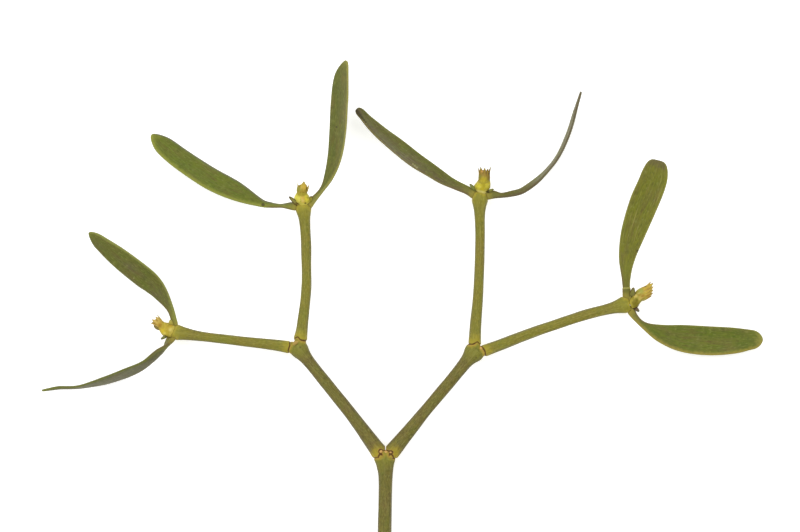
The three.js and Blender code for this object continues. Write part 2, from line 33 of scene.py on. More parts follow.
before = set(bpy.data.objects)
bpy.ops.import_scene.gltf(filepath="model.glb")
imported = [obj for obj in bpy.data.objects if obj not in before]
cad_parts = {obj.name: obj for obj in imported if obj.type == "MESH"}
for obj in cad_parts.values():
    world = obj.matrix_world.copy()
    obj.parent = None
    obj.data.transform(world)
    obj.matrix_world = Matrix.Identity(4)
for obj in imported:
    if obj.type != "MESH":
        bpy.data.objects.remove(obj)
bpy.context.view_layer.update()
started = time.time()
millimetre = 0.001


def report(stage):
    print(f"{stage}: {time.time() - started:.1f} s")


# Camera, floor and lights

cameraLook = {
    "middle": (-0.667, 15.83),  # mm, what the photograph's centre looks at
    "height": 1005.0,
    "lens": 135.0,
    "sensor": 36.0,
}

floorLook = {"size": 3000.0, "drop": 0.1, "colour": (0.93, 0.93, 0.925, 1), "roughness": 0.75, "glow": 0.5}

# Each softbox: azimuth and elevation in degrees, distance and size in metres, watts
softboxes = {
    "softboxLeft": {"azimuth": 150, "elevation": 52, "distance": 1.6, "size": 1.0, "watts": 8.6},
    "softboxRight": {"azimuth": 25, "elevation": 55, "distance": 1.7, "size": 1.0, "watts": 4.7},
    "softboxNear": {"azimuth": -100, "elevation": 60, "distance": 1.7, "size": 1.0, "watts": 3.9},
    "softboxFar": {"azimuth": 85, "elevation": 60, "distance": 1.7, "size": 1.0, "watts": 5.6},
}
skyLook = {"colour": (1, 1, 1, 1), "strength": 0.5}


def addCamera(look):
    data = bpy.data.cameras.new("tableCamera")
    data.lens = look["lens"]
    data.sensor_width = look["sensor"]
    data.clip_end = 20
    camera = bpy.data.objects.new("tableCamera", data)
    x, y = look["middle"]
    camera.location = (x * millimetre, y * millimetre, look["height"] * millimetre)
    bpy.context.scene.collection.objects.link(camera)
    bpy.context.scene.camera = camera


def addFloor(look):
    half = look["size"] * millimetre / 2
    level = -look["drop"] * millimetre  # just under the lowest wrinkle
    corners = [(-half, -half, level), (half, -half, level), (half, half, level), (-half, half, level)]
    mesh = bpy.data.meshes.new("tableTop")
    mesh.from_pydata(corners, [], [(0, 1, 2, 3)])
    floor = bpy.data.objects.new("tableTop", mesh)
    paper = bpy.data.materials.new("whiteTable")
    paper.use_nodes = True
    shader = paper.node_tree.nodes["Principled BSDF"]
    shader.inputs["Base Color"].default_value = look["colour"]
    shader.inputs["Roughness"].default_value = look["roughness"]
    shader.inputs["Emission Color"].default_value = look["colour"]
    shader.inputs["Emission Strength"].default_value = look["glow"]  # lit from below, so nearly no shadows
    mesh.materials.append(paper)
    bpy.context.scene.collection.objects.link(floor)


def addLights(boxes, sky):
    for name, box in boxes.items():
        data = bpy.data.lights.new(name, "AREA")
        data.size = box["size"]
        data.energy = box["watts"]
        light = bpy.data.objects.new(name, data)
        around = math.radians(box["azimuth"])
        high = math.radians(box["elevation"])
        level = math.cos(high)
        towards = Vector((math.cos(around) * level, math.sin(around) * level, math.sin(high)))
        light.location = towards * box["distance"]
        light.rotation_euler = towards.to_track_quat("Z", "Y").to_euler()
        bpy.context.scene.collection.objects.link(light)
    world = bpy.data.worlds.new("paleRoom")
    world.use_nodes = True
    background = world.node_tree.nodes["Background"]
    background.inputs["Color"].default_value = sky["colour"]
    background.inputs["Strength"].default_value = sky["strength"]
    bpy.context.scene.world = world


addCamera(cameraLook)
addFloor(floorLook)
addLights(softboxes, skyLook)
bpy.context.scene.view_settings.view_transform = "Standard"
report("camera, floor and lights")


# Small helpers for smooth shapes


def smoothStep(low, high, value):
    share = np.clip((np.asarray(value, float) - low) / (high - low), 0, 1)
    return share * share * (3 - 2 * share)


def hump(value, middle, width):
    return np.exp(-(((np.asarray(value, float) - middle) / width) ** 2))


def unit(vectors):
    return vectors / np.maximum(np.linalg.norm(vectors, axis=-1, keepdims=True), 1e-12)


# Smooth wander between -1 and 1 over points, with bumps of about the given size
def wander(points, size, seed, waves=9):
    random = np.random.default_rng(seed)
    directions = unit(random.normal(size=(waves, points.shape[-1])))
    lengths = size * random.uniform(0.7, 1.6, waves)
    phases = random.uniform(0, 2 * math.pi, waves)
    total = np.zeros(points.shape[:-1])
    for direction, length, phase in zip(directions, lengths, phases):
        total += np.sin(points @ direction * (2 * math.pi / length) + phase)
    return total / (0.7 * math.sqrt(waves) * 1.6)


# Uniform Catmull-Rom line through rows of numbers, as the solids use: rows and slopes at shares 0 to 1
def smoothLine(rows, shares):
    rows = np.asarray(rows, float)
    padded = np.vstack([2 * rows[0] - rows[1], rows, 2 * rows[-1] - rows[-2]])
    position = np.clip(shares, 0, 1) * (len(rows) - 1)
    span = np.minimum(position.astype(int), len(rows) - 2)
    t = (position - span)[:, None]
    before, start, end, after = (padded[span + k] for k in range(4))
    leave = (end - before) / 2
    arrive = (after - start) / 2
    bend = -3 * start + 3 * end - 2 * leave - arrive
    twist = 2 * start - 2 * end + leave + arrive
    return start + leave * t + bend * t**2 + twist * t**3, leave + 2 * bend * t + 3 * twist * t**2


lineSteps = 900  # fine enough to measure a line's length


# Shares along a line of stations that lie evenly in length, and their distances from its start
def evenShares(stations, spacing):
    dense = np.linspace(0, 1, lineSteps)
    centres, _ = smoothLine(np.asarray(stations)[:, :3], dense)
    steps = np.linalg.norm(np.diff(centres, axis=0), axis=1)
    along = np.concatenate([[0], np.cumsum(steps)])
    distances = np.linspace(0, along[-1], max(2, round(along[-1] / spacing)) + 1)
    return np.interp(distances, along, dense), distances


# Directions across each tangent: level with the table, and square to both
def sideAndNormal(tangents):
    side = unit(np.cross(tangents, [0, 0, 1]))
    return side, np.cross(side, tangents)


# A raw shape is its points, its faces and its marks, all still in millimetres
def loft(rings, marks, capStart=True, capEnd=True):
    ringCount, sides, _ = rings.shape
    points = [rings.reshape(-1, 3)]
    values = {name: [np.broadcast_to(value, (ringCount, sides)).reshape(-1)] for name, value in marks.items()}
    first = np.arange(ringCount - 1)[:, None] * sides
    here = np.arange(sides)[None, :]
    a = (first + here).reshape(-1)
    b = (first + (here + 1) % sides).reshape(-1)
    faces = np.stack([a, a + sides, b + sides, b], 1).tolist()
    hub = ringCount * sides
    for last, wanted in ((False, capStart), (True, capEnd)):
        if not wanted:
            continue
        ring = ringCount - 1 if last else 0
        points.append(rings[ring].mean(0)[None])
        for name, value in marks.items():
            values[name].append([np.broadcast_to(value, (ringCount, sides))[ring].mean()])
        for k in range(sides):
            one, two = ring * sides + k, ring * sides + (k + 1) % sides
            faces.append([hub, two, one] if last else [hub, one, two])
        hub += 1
    return {
        "points": np.concatenate(points),
        "faces": faces,
        "marks": {name: np.concatenate(value) for name, value in values.items()},
    }


def joined(shapes):
    names = sorted({name for shape in shapes for name in shape["marks"]})
    faces = []
    count = 0
    for shape in shapes:
        faces += [[count + corner for corner in face] for face in shape["faces"]]
        count += len(shape["points"])
    marks = {}
    for name in names:
        marks[name] = np.concatenate(
            [shape["marks"].get(name, np.zeros(len(shape["points"]))) for shape in shapes]
        )
    return {"points": np.concatenate([shape["points"] for shape in shapes]), "faces": faces, "marks": marks}


# Rounded egg along an axis, for buds and the small bumps of a scar
def egg(centre, axis, length, width, depth, marks, sides=20, turns=14):
    axis = unit(np.asarray(axis, float))
    side, normal = sideAndNormal(axis)
    sweep = np.radians(np.linspace(-86, 86, turns))  # not quite to the ends, which are capped
    angles = np.linspace(0, 2 * math.pi, sides, endpoint=False)
    rings = (
        np.asarray(centre, float)
        + axis * (length * np.sin(sweep))[:, None, None]
        + side * (width * np.cos(sweep)[:, None] * np.cos(angles))[..., None]
        + normal * (depth * np.cos(sweep)[:, None] * np.sin(angles))[..., None]
    )
    return loft(rings, marks)


# Stems

stemDetail = {
    "spacing": 0.3,
    "sides": 44,
    "wrinkleDepth": 0.035,  # lengthwise wrinkles, share of the radius
    "wrinkles": ((3.4, 1.0), (1.7, 0.8)),  # size and weight of the coarse and the fine ones
    "wrinkleGirth": 6,  # how much they change round the stem
    "wrinkleStretch": 7,  # how much longer than wide they are
    "rootLength": 0.9,  # how far a segment reaches back into what carries it
    "rootTaper": ((1, 0.86), (0.66, 0.93), (0.33, 0.98)),  # shares of that length and of the width
    "edgeFade": (0.4, 3.0),  # mm from the joint over which a segment's uneven edge fades
    "knuckleRings": 26,
    "knuckleFade": (-2.4, -0.4),
    "plumpness": 0.13,  # makes a knuckle a little squarer than an ellipse
    "knuckleAlong": 40.0,  # where a knuckle starts in the bark's streaks
}

# A knuckle's outline: mm beyond its end, and its share of the radius
knuckleProfile = [
    (-3.0, 0.9), (-2.0, 0.97), (-1.2, 1.02), (-0.6, 1.05), (-0.2, 1.0), (0.05, 0.9), (0.2, 0.72), (0.28, 0.45)
]

# Rings of the cut face: share of the radius, and how deep each is sunk in mm
cutRings = ((0.12, 0.07), (0.3, 0.03), (0.5, 0.05), (0.7, 0.03), (0.86, 0.05), (0.95, 0.02), (0.985, 0.005))

# Stations: x, y, z, half width and half depth. A knuckle carries the next segment.
stems = {
    "stem_main": {
        "skin": "stem",
        "stations": [
            (-5.8, -84, 2.2, 2.2, 2.2),
            (-5.8, -70, 2.9, 2.2, 2.2),
            (-5.5, -56, 3.6, 2.25, 2.2),
            (-5.65, -51, 3.9, 2.8, 2.5),
            (-5.75, -48.4, 4.0, 3.5, 2.8),
            (-5.75, -47.3, 4.1, 3.15, 2.4),
        ],
        "knuckles": [{"end": (-5.4, -45.8, 4.2), "heading": 90, "radius": 2.1, "depth": 2.65}],
    },
    "stem_left": {
        "skin": "stem",
        "grownFrom": "stem_main",
        "outerSide": -1,
        "stations": [
            (-6.9, -46.9, 4.2, 2.75, 2.35),
            (-9.5, -43.6, 4.3, 2.45, 2.25),
            (-17, -33.6, 4.7, 1.95, 1.95),
            (-24.5, -24.2, 5.1, 1.95, 1.95),
            (-31.15, -15.8, 5.5, 1.98, 2.0),
            (-33.95, -12.2, 5.7, 2.9, 2.5),
            (-35.2, -10.7, 5.7, 2.85, 2.3),
        ],
        "knuckles": [
            {"end": (-37.5, -11.3, 5.7), "heading": 174, "radius": 1.95, "depth": 1.95,
             "carries": "stem_left_outer"},
            {"end": (-33.8, -8.3, 5.8), "heading": 86, "radius": 1.95, "depth": 1.85,
             "carries": "stem_left_inner"},
        ],
    },
    "stem_right": {
        "skin": "stem",
        "grownFrom": "stem_main",
        "outerSide": 1,
        "stations": [
            (-4.1, -46.9, 4.2, 2.75, 2.35),
            (-1.3, -43.6, 4.3, 2.5, 2.25),
            (6.3, -34.3, 4.7, 2.0, 1.95),
            (13.7, -25.5, 5.1, 1.95, 1.95),
            (20.9, -16.6, 5.6, 2.15, 2.05),
            (23.6, -13.3, 5.8, 3.2, 2.5),
            (24.9, -11.8, 5.9, 3.1, 2.3),
        ],
        "knuckles": [
            {"end": (24.25, -10.1, 6.0), "heading": 88, "radius": 2.05, "depth": 2.0,
             "carries": "stem_right_inner"},
            {"end": (27.3, -12.4, 5.9), "heading": 12, "radius": 1.75, "depth": 1.75,
             "carries": "stem_right_outer"},
        ],
    },
    "stem_left_outer": {
        "skin": "young_stem",
        "grownFrom": "stem_left",
        "stations": [
            (-37.9, -11.2, 5.7, 2.05, 1.9),
            (-43.0, -10.4, 5.7, 1.85, 1.75),
            (-55, -9.05, 5.7, 1.6, 1.55),
            (-67, -7.6, 5.8, 1.6, 1.55),
            (-72.4, -6.7, 5.9, 2.1, 1.8),
            (-75.2, -6.2, 6.0, 2.65, 2.2),
            (-76.6, -5.9, 6.0, 2.2, 1.8),
        ],
    },
    "stem_left_inner": {
        "skin": "young_stem",
        "grownFrom": "stem_left",
        "stations": [
            (-33.75, -7.9, 5.8, 2.25, 2.0),
            (-33.1, -3.5, 5.9, 1.85, 1.8),
            (-31.85, 9, 6.3, 1.65, 1.62),
            (-31.9, 22, 6.7, 1.68, 1.64),
            (-32.35, 31, 7.0, 1.88, 1.75),
            (-32.75, 35.0, 7.1, 2.8, 2.2),
            (-32.8, 36.2, 7.2, 2.3, 1.8),
        ],
    },
    "stem_right_inner": {
        "skin": "young_stem",
        "grownFrom": "stem_right",
        "stations": [
            (24.2, -9.7, 6.0, 2.15, 2.0),
            (24.5, -4, 6.0, 1.88, 1.8),
            (25.45, 9, 6.2, 1.65, 1.65),
            (25.95, 24, 6.4, 1.6, 1.6),
            (25.9, 33.4, 6.6, 1.8, 1.7),
            (25.95, 38.2, 6.7, 2.75, 2.2),
            (26.35, 40.1, 6.7, 2.15, 1.7),
        ],
    },
    "stem_right_outer": {
        "skin": "young_stem",
        "grownFrom": "stem_right",
        "stations": [
            (27.7, -12.3, 5.9, 1.95, 1.85),
            (33.0, -10.3, 6.0, 1.8, 1.75),
            (46, -5.45, 6.2, 1.7, 1.68),
            (60, -0.8, 6.5, 1.7, 1.65),
            (69.4, 1.7, 6.8, 1.85, 1.75),
            (74.0, 2.9, 6.9, 2.85, 2.2),
            (75.7, 3.3, 7.0, 2.4, 1.8),
        ],
    },
}

# What is left of the old flower between the two segments of a fork: bumps on the node's end, the
# palest where the flower broke off
scarBumps = {
    "stem_main": [
        {"centre": (-7.05, -45.95, 6.2), "heading": 90, "size": (0.75, 0.8, 0.75), "pale": 1.0},
        {"centre": (-5.4, -46.1, 6.55), "heading": 90, "size": (0.55, 0.6, 0.5), "pale": 0.9},
        {"centre": (-3.75, -46.2, 6.25), "heading": 90, "size": (0.6, 0.8, 0.65), "pale": 1.0},
        {"centre": (-7.0, -47.5, 5.8), "heading": 90, "size": (1.1, 1.0, 0.95), "pale": 0.0},
        {"centre": (-3.85, -47.5, 5.8), "heading": 90, "size": (1.1, 1.0, 0.95), "pale": 0.0},
    ],
    "stem_left": [{"centre": (-35.35, -9.75, 6.9), "heading": 35, "size": (1.75, 0.75, 0.95), "pale": 0.5}],
    "stem_right": [{"centre": (26.3, -11.7, 6.9), "heading": -50, "size": (1.0, 0.7, 0.8), "pale": 1.0}],
}

# A young segment's edge at its joint: degrees round it, from the right over the top, and mm forward
jointEdges = {
    "stem_left": [(90, 0), (140, 0.7), (180, 1.0), (230, 0.5), (270, 0)],
    "stem_right": [(0, 1.0), (40, 0.7), (90, 0), (270, 0), (310, 0.5)],
    "stem_left_outer": [(0, 0.1), (60, -0.15), (120, 0.15), (180, -0.1), (270, 0)],
    "stem_left_inner": [(0, -0.35), (60, -0.45), (95, -0.1), (117, 0.65), (150, 0.0), (180, -0.45), (270, 0)],
    "stem_right_inner": [(0, -0.55), (40, -0.1), (68, 0.8), (112, -0.15), (180, -0.15), (270, 0)],
    "stem_right_outer": [(0, 0.1), (90, 0.35), (115, 0.0), (180, -0.75), (270, 0)],
}


def jointShift(name, angles):
    edge = jointEdges.get(name, [(0, 0)])
    return np.interp(np.degrees(angles), [turn for turn, _ in edge], [shift for _, shift in edge], period=360)


def stemTube(name, stem):
    detail = stemDetail
    stations = np.asarray(stem["stations"], float)
    shares, along = evenShares(stations, detail["spacing"])
    centres, slopes = smoothLine(stations[:, :3], shares)
    widths, _ = smoothLine(stations[:, 3:5], shares)
    tangents = unit(slopes)
    if "grownFrom" in stem:  # a tapering root that reaches back into the node
        reach, taper = np.array(detail["rootTaper"]).T
        back = reach * detail["rootLength"]
        centres = np.vstack([centres[0] - tangents[0] * back[:, None], centres])
        tangents = np.vstack([np.repeat(tangents[:1], len(back), 0), tangents])
        widths = np.vstack([widths[0] * taper[:, None], widths])
        along = np.concatenate([-back, along])
    side, normal = sideAndNormal(tangents)
    angles = np.linspace(0, 2 * math.pi, detail["sides"], endpoint=False)
    cos, sin = np.cos(angles), np.sin(angles)
    girth = detail["wrinkleGirth"]
    turning = np.broadcast_arrays(girth * cos, girth * sin, along[:, None] / detail["wrinkleStretch"])
    turning = np.stack(turning, -1)
    seed = sum(map(ord, name))
    wrinkles = 0
    for index, (size, weight) in enumerate(detail["wrinkles"]):
        wrinkles = wrinkles + weight * wander(turning, size, seed + index)
    swell = 1 + detail["wrinkleDepth"] * wrinkles
    rings = (
        centres[:, None]
        + side[:, None] * (widths[:, :1] * swell * cos)[..., None]
        + normal[:, None] * (widths[:, 1:] * swell * sin)[..., None]
    )
    shift = jointShift(name, angles) * (1 - smoothStep(*detail["edgeFade"], along))[:, None]
    rings = rings + tangents[:, None] * shift[..., None]
    marks = {
        "along": along[:, None],
        "across": cos[None, :],
        "high": sin[None, :],
        "fromEnd": (along[-1] - along)[:, None],
        "outer": np.clip(0.6 + 0.6 * cos * stem.get("outerSide", 0), 0, 1)[None, :],
    }
    return rings, marks


def knuckleStub(knuckle):
    detail = stemDetail
    heading = math.radians(knuckle["heading"])
    axis = np.array([math.cos(heading), math.sin(heading), 0])
    side, normal = sideAndNormal(axis)
    angles = np.linspace(0, 2 * math.pi, detail["sides"], endpoint=False)
    cos, sin = np.cos(angles), np.sin(angles)
    rows, _ = smoothLine(knuckleProfile, np.linspace(0, 1, detail["knuckleRings"]))
    beyond, size = rows[:, :1], rows[:, 1:]
    plump = (cos**4 + sin**4) ** -detail["plumpness"]
    shift = jointShift(knuckle.get("carries"), angles) * smoothStep(*detail["knuckleFade"], beyond)
    rings = (
        np.asarray(knuckle["end"], float)
        + axis * (beyond + shift)[..., None]
        + side * (knuckle["radius"] * size * cos * plump)[..., None]
        + normal * (knuckle["depth"] * size * sin * plump)[..., None]
    )
    marks = {
        "along": detail["knuckleAlong"] + beyond,
        "across": cos[None, :],
        "high": sin[None, :],
        "fromEnd": np.maximum(-beyond, 0),
    }
    return loft(rings, marks)


# The stem's cut end: bark rounds over, and flat wood with a pith fills it
def withCutFace(rings, marks):
    centre = rings[0].mean(0)
    outward = unit(centre - rings[1].mean(0))
    shares, sunk = np.array(cutRings).T
    faceRings = centre + (rings[:1] - centre) * shares[:, None, None] - outward * sunk[:, None, None]
    longer = {}
    for name, value in marks.items():
        value = np.broadcast_to(value, rings.shape[:2])
        longer[name] = np.concatenate([np.repeat(value[:1], len(shares), 0), value])
    longer["cutFace"] = np.repeat([1, 0], [len(shares), len(rings)])[:, None]
    longer["radial"] = np.concatenate([shares, np.ones(len(rings))])[:, None]
    return np.concatenate([faceRings, rings]), longer


def stemShape(name, stem):
    rings, marks = stemTube(name, stem)
    if "grownFrom" not in stem:
        rings, marks = withCutFace(rings, marks)
    parts = [loft(rings, marks)]
    parts += [knuckleStub(knuckle) for knuckle in stem.get("knuckles", [])]
    for bump in scarBumps.get(name, []):
        length, width, depth = bump["size"]
        heading = math.radians(bump["heading"])
        axis = (math.cos(heading), math.sin(heading), 0)
        marks = {"scar": bump["pale"], "along": stemDetail["knuckleAlong"], "high": 1.0, "fromEnd": 0.5}
        parts.append(egg(bump["centre"], axis, length, width, depth, marks))
    return joined(parts)


# Leaves

leafDetail = {
    "spacing": 0.3,
    "columns": 23,  # across each face
    "thickness": 1.0,
    "petioleThickness": 2.0,
    "petioleLength": 14.0,
    "tipThickness": 0.35,  # share of the thickness that is left at the very tip
    "leastWidth": 0.02,  # half width of the last ring
    "edgePower": 3,
    "veinHeight": 0.07,
    "veinWidth": 0.055,  # share of the half width, as the veins' places are
    "veins": (-0.62, -0.32, 0.0, 0.32, 0.62),
    "veinBelow": 0.7,  # height of a vein on the underside, as a share
    "waviness": 0.16,
    "waveLength": 13,
    "rippleHeight": 0.02,
    "rippleLength": 3.0,
    "rippleStretch": (2.4, 0.5),  # finer across than along
    "plainStalk": (6, 14),  # mm from the joint over which veins and waves grow in
    "plainTip": (7, 1),  # mm from the tip over which they fade
    "tipSteps": 16,
    "tipGap": 0.004,  # share of the length between the blade's last ring and the tip's first
    "collarThickness": 0.35,  # mm that a collar adds to the petiole's thickness
    "collarWidth": 0.15,  # mm that it adds on each side
    "collarStep": 0.15,  # mm, half the length of the step at its rim
    "noCollar": -9,  # where it is on a leaf that has none, too far back to show
}

# Stations: x, y, z of the midrib, half width, roll and curl in degrees. A tip is an ellipse at
# tipPower 1 and squarer below that. A collar is a sheath round the first mm of the petiole.
leaves = {
    "leaf_left_upper": {
        "node": "left",
        "tipLength": 5,
        "stations": [
            (-75.8, -4.8, 6.2, 1.65, 0, 0),
            (-75.95, -2.2, 6.3, 1.05, 0, 0),
            (-77.3, 1.9, 6.6, 1.35, 12, 10),
            (-80.4, 6.8, 7.0, 2.85, 24, 14),
            (-83.1, 9.95, 7.15, 3.8, 28, 14),
            (-86.7, 12.85, 7.2, 4.25, 30, 14),
            (-94.1, 18.6, 6.8, 4.0, 30, 12),
            (-100.2, 23.4, 5.9, 2.95, 28, 10),
            (-104.4, 27.0, 4.9, 1.7, 26, 8),
        ],
    },
    "leaf_left_lower": {
        "node": "left",
        "tipLength": 5,
        "stations": [
            (-75.5, -6.5, 6.0, 1.75, -40, 0),
            (-77.8, -9.3, 5.9, 1.85, -58, 50),
            (-80.85, -12.8, 5.5, 2.1, -118, 64),
            (-85.2, -16.6, 5.0, 3.0, -114, 8),
            (-92.2, -20.0, 4.4, 4.4, -112, 8),
            (-99.5, -22.6, 4.3, 4.25, -108, 8),
            (-107.5, -24.5, 4.4, 2.9, -98, 6),
            (-114.5, -24.8, 4.6, 1.9, -95, 6),
            (-120.1, -25.7, 4.8, 1.1, -92, 4),
        ],
    },
    "leaf_upper_left_outer": {
        "node": "upper_left",
        "tipLength": 6,
        "stations": [
            (-33.4, 35.4, 7.2, 1.6, 0, 0),
            (-37.0, 35.8, 7.2, 1.3, -5, 0),
            (-40.2, 35.85, 7.2, 0.7, -10, 0),
            (-43.6, 36.1, 7.2, 0.95, -14, 2),
            (-47.2, 36.95, 7.1, 1.55, -22, 8),
            (-55.8, 40.85, 6.8, 4.0, -34, 12),
            (-64.2, 45.1, 6.2, 4.7, -38, 14),
            (-72.2, 50.2, 5.4, 4.6, -37, 12),
            (-78.7, 55.3, 4.5, 3.9, -34, 10),
            (-83.6, 59.7, 3.9, 2.5, -30, 8),
        ],
    },
    "leaf_upper_left_inner": {
        "node": "upper_left",
        "tipLength": 6,
        "tipPower": 0.85,
        "stations": [
            (-31.6, 35.4, 7.3, 1.6, 0, 0),
            (-29.7, 37.6, 7.4, 1.15, 8, 0),
            (-26.4, 41.5, 7.8, 1.0, 25, 8),
            (-24.1, 46, 8.2, 2.2, 38, 16),
            (-22.05, 52.8, 8.8, 3.75, 48, 20),
            (-20.9, 61, 9.4, 4.75, 52, 24),
            (-20.5, 70, 9.9, 4.75, 52, 24),
            (-20.05, 78, 10.2, 3.9, 50, 18),
            (-18.5, 84.0, 10.4, 2.0, 44, 10),
        ],
    },
    "leaf_upper_right_inner": {
        "node": "upper_right",
        "tipLength": 3.5,
        "tipPower": 0.7,
        "stations": [
            (25.3, 38.9, 6.7, 1.9, 0, 0),
            (21.8, 41.0, 6.8, 1.45, -8, 0),
            (16.5, 43.4, 6.9, 1.85, -20, 10),
            (11.1, 46.6, 6.9, 2.9, -38, 18),
            (4.4, 50.9, 6.8, 4.1, -50, 24),
            (-2.65, 56.2, 6.6, 4.4, -52, 26),
            (-8.5, 61.2, 6.4, 3.4, -50, 22),
            (-12.3, 65.2, 6.2, 2.3, -46, 16),
            (-15.05, 68.25, 6.1, 1.8, -40, 10),
        ],
    },
    "leaf_upper_right_outer": {
        "node": "upper_right",
        "tipLength": 5,
        "stations": [
            (27.4, 39.2, 6.6, 1.7, 0, 0),
            (30.2, 39.6, 6.5, 1.45, 8, 0),
            (33.1, 39.35, 6.4, 0.95, 24, 2),
            (36.2, 39.9, 6.2, 1.2, 42, 4),
            (40.6, 41.25, 5.9, 1.95, 60, 4),
            (46.5, 45.6, 5.3, 3.7, 75.5, 4),
            (51.7, 52.0, 4.8, 4.65, 82.5, 4),
            (55.6, 60.4, 4.6, 4.5, 88, 4),
            (58.1, 68.6, 4.7, 3.2, 89, 4),
            (59.7, 74.0, 4.8, 1.6, 89, 4),
        ],
    },
    "leaf_right_upper": {
        "node": "right",
        "tipLength": 6,
        "tipPower": 0.5,
        "collar": 4.7,
        "stations": [
            (75.3, 3.9, 7.0, 2.0, 0, 0),
            (74.7, 7.4, 7.2, 1.25, 0, 0),
            (74.5, 12.4, 7.6, 1.6, -6, 8),
            (74.85, 19.0, 8.2, 2.9, -10, 14),
            (76.75, 27, 9.0, 4.3, -12, 18),
            (79.9, 36, 9.8, 5.0, -12, 18),
            (83.0, 43.6, 10.4, 4.85, -12, 14),
            (84.85, 50.95, 10.8, 4.3, -12, 8),
        ],
    },
    "leaf_right_lower": {
        "node": "right",
        "tipLength": 5,
        "stations": [
            (75.6, 2.5, 6.9, 2.0, 0, 0),
            (77.2, -0.7, 6.9, 1.15, 0, 0),
            (80.45, -3.85, 6.8, 1.2, 4, 8),
            (86.1, -6.6, 6.4, 3.05, 8, 14),
            (93.0, -8.25, 5.7, 4.6, 8, 16),
            (101.5, -9.1, 4.7, 4.95, 7, 16),
            (110.5, -9.1, 3.5, 4.45, 6, 12),
            (116.5, -8.8, 2.8, 3.4, 5, 8),
            (120.6, -8.7, 2.4, 2.6, 4, 6),
        ],
    },
}


# One curled blade: rings run over the top from its right margin to its left, and back below
def bladeRings(centres, tangents, halfWidths, rolls, curls, thickness, columns, lift):
    side, normal = sideAndNormal(tangents)
    turn = np.radians(rolls)[:, None]
    cos, sin = np.cos(turn), np.sin(turn)
    side, normal = side * cos + normal * sin, normal * cos - side * sin
    curl = np.maximum(np.abs(np.radians(curls)), 1e-3)[:, None]
    across = np.concatenate([columns[::-1], columns[1:-1]])[None, :]
    face = np.concatenate([np.ones(len(columns)), -np.ones(len(columns) - 2)])[None, :]
    angle = curl * across
    width = halfWidths[:, None]
    out = width * np.sin(angle) / curl
    rise = width * ((1 + np.cos(curl)) / 2 - np.cos(angle)) / curl
    fullness = np.sqrt(np.maximum(1 - np.abs(across) ** leafDetail["edgePower"], 0))
    depth = face * thickness[:, None] * fullness / 2 + lift(across, face)
    rings = (
        centres[:, None]
        + side[:, None] * (out - depth * np.sin(angle))[..., None]
        + normal[:, None] * (rise + depth * np.cos(angle))[..., None]
    )
    return rings, across, face


def leafShape(name, leaf):
    detail = leafDetail
    stations = np.asarray(leaf["stations"], float)
    shares, along = evenShares(stations, detail["spacing"])
    length = along[-1]
    tipStart = 1 - leaf["tipLength"] / length
    sweep = np.linspace(0, 0.5 * math.pi, detail["tipSteps"] + 1)
    blade = shares[shares < tipStart - detail["tipGap"]]
    closing = np.concatenate([np.ones(len(blade)), np.maximum(np.cos(sweep), 0) ** leaf.get("tipPower", 1)])
    shares = np.concatenate([blade, tipStart + (1 - tipStart) * np.sin(sweep)])
    centres, slopes = smoothLine(stations[:, :3], shares)
    halfWidths, rolls, curls = smoothLine(stations[:, 3:6], shares)[0].T
    along = shares * length
    steps = np.linalg.norm(np.diff(centres, axis=0), axis=1)
    travelled = np.concatenate([[0], np.cumsum(steps)])
    petiole = 1 - smoothStep(0, detail["petioleLength"], along)
    thickness = detail["thickness"] + (detail["petioleThickness"] - detail["thickness"]) * petiole
    thickness = thickness * (detail["tipThickness"] + (1 - detail["tipThickness"]) * closing**0.5)
    halfWidths = np.maximum(halfWidths * closing, detail["leastWidth"])
    fromCollar = travelled - leaf.get("collar", detail["noCollar"])
    sheathed = 1 - smoothStep(-detail["collarStep"], detail["collarStep"], fromCollar)
    thickness = thickness + detail["collarThickness"] * sheathed
    halfWidths = halfWidths + detail["collarWidth"] * sheathed
    seed = sum(map(ord, name))
    columns = np.sin(np.linspace(-0.5 * math.pi, 0.5 * math.pi, detail["columns"]))
    fadeStart, fadeEnd = (length - reach for reach in detail["plainTip"])
    bladeShare = smoothStep(*detail["plainStalk"], along) * (1 - smoothStep(fadeStart, fadeEnd, along))

    def lift(across, face):
        raised = sum(hump(across, vein, detail["veinWidth"]) for vein in detail["veins"])
        spot = np.stack(np.broadcast_arrays(across * 6, along[:, None]), -1)
        wave = detail["waviness"] * wander(spot, detail["waveLength"], seed)
        ripple = wander(spot * np.array(detail["rippleStretch"]), detail["rippleLength"], seed + 3)
        veins = np.where(face > 0, 1.0, detail["veinBelow"]) * face * detail["veinHeight"] * raised
        return (veins + wave + face * detail["rippleHeight"] * ripple) * bladeShare[:, None]

    rings, across, face = bladeRings(
        centres, unit(slopes), halfWidths, rolls, curls, thickness, columns, lift
    )
    marks = {
        "along": travelled[:, None],
        "across": across,
        "underside": (face < 0) & (np.abs(across) < 0.995),
        "fromTip": (travelled[-1] - travelled)[:, None],
        "fromCollar": np.abs(fromCollar)[:, None],
        "fromRightEdge": (1 - across) * halfWidths[:, None],
        "fromLeftEdge": (1 + across) * halfWidths[:, None],
    }
    return loft(rings, marks)


# Flower heads

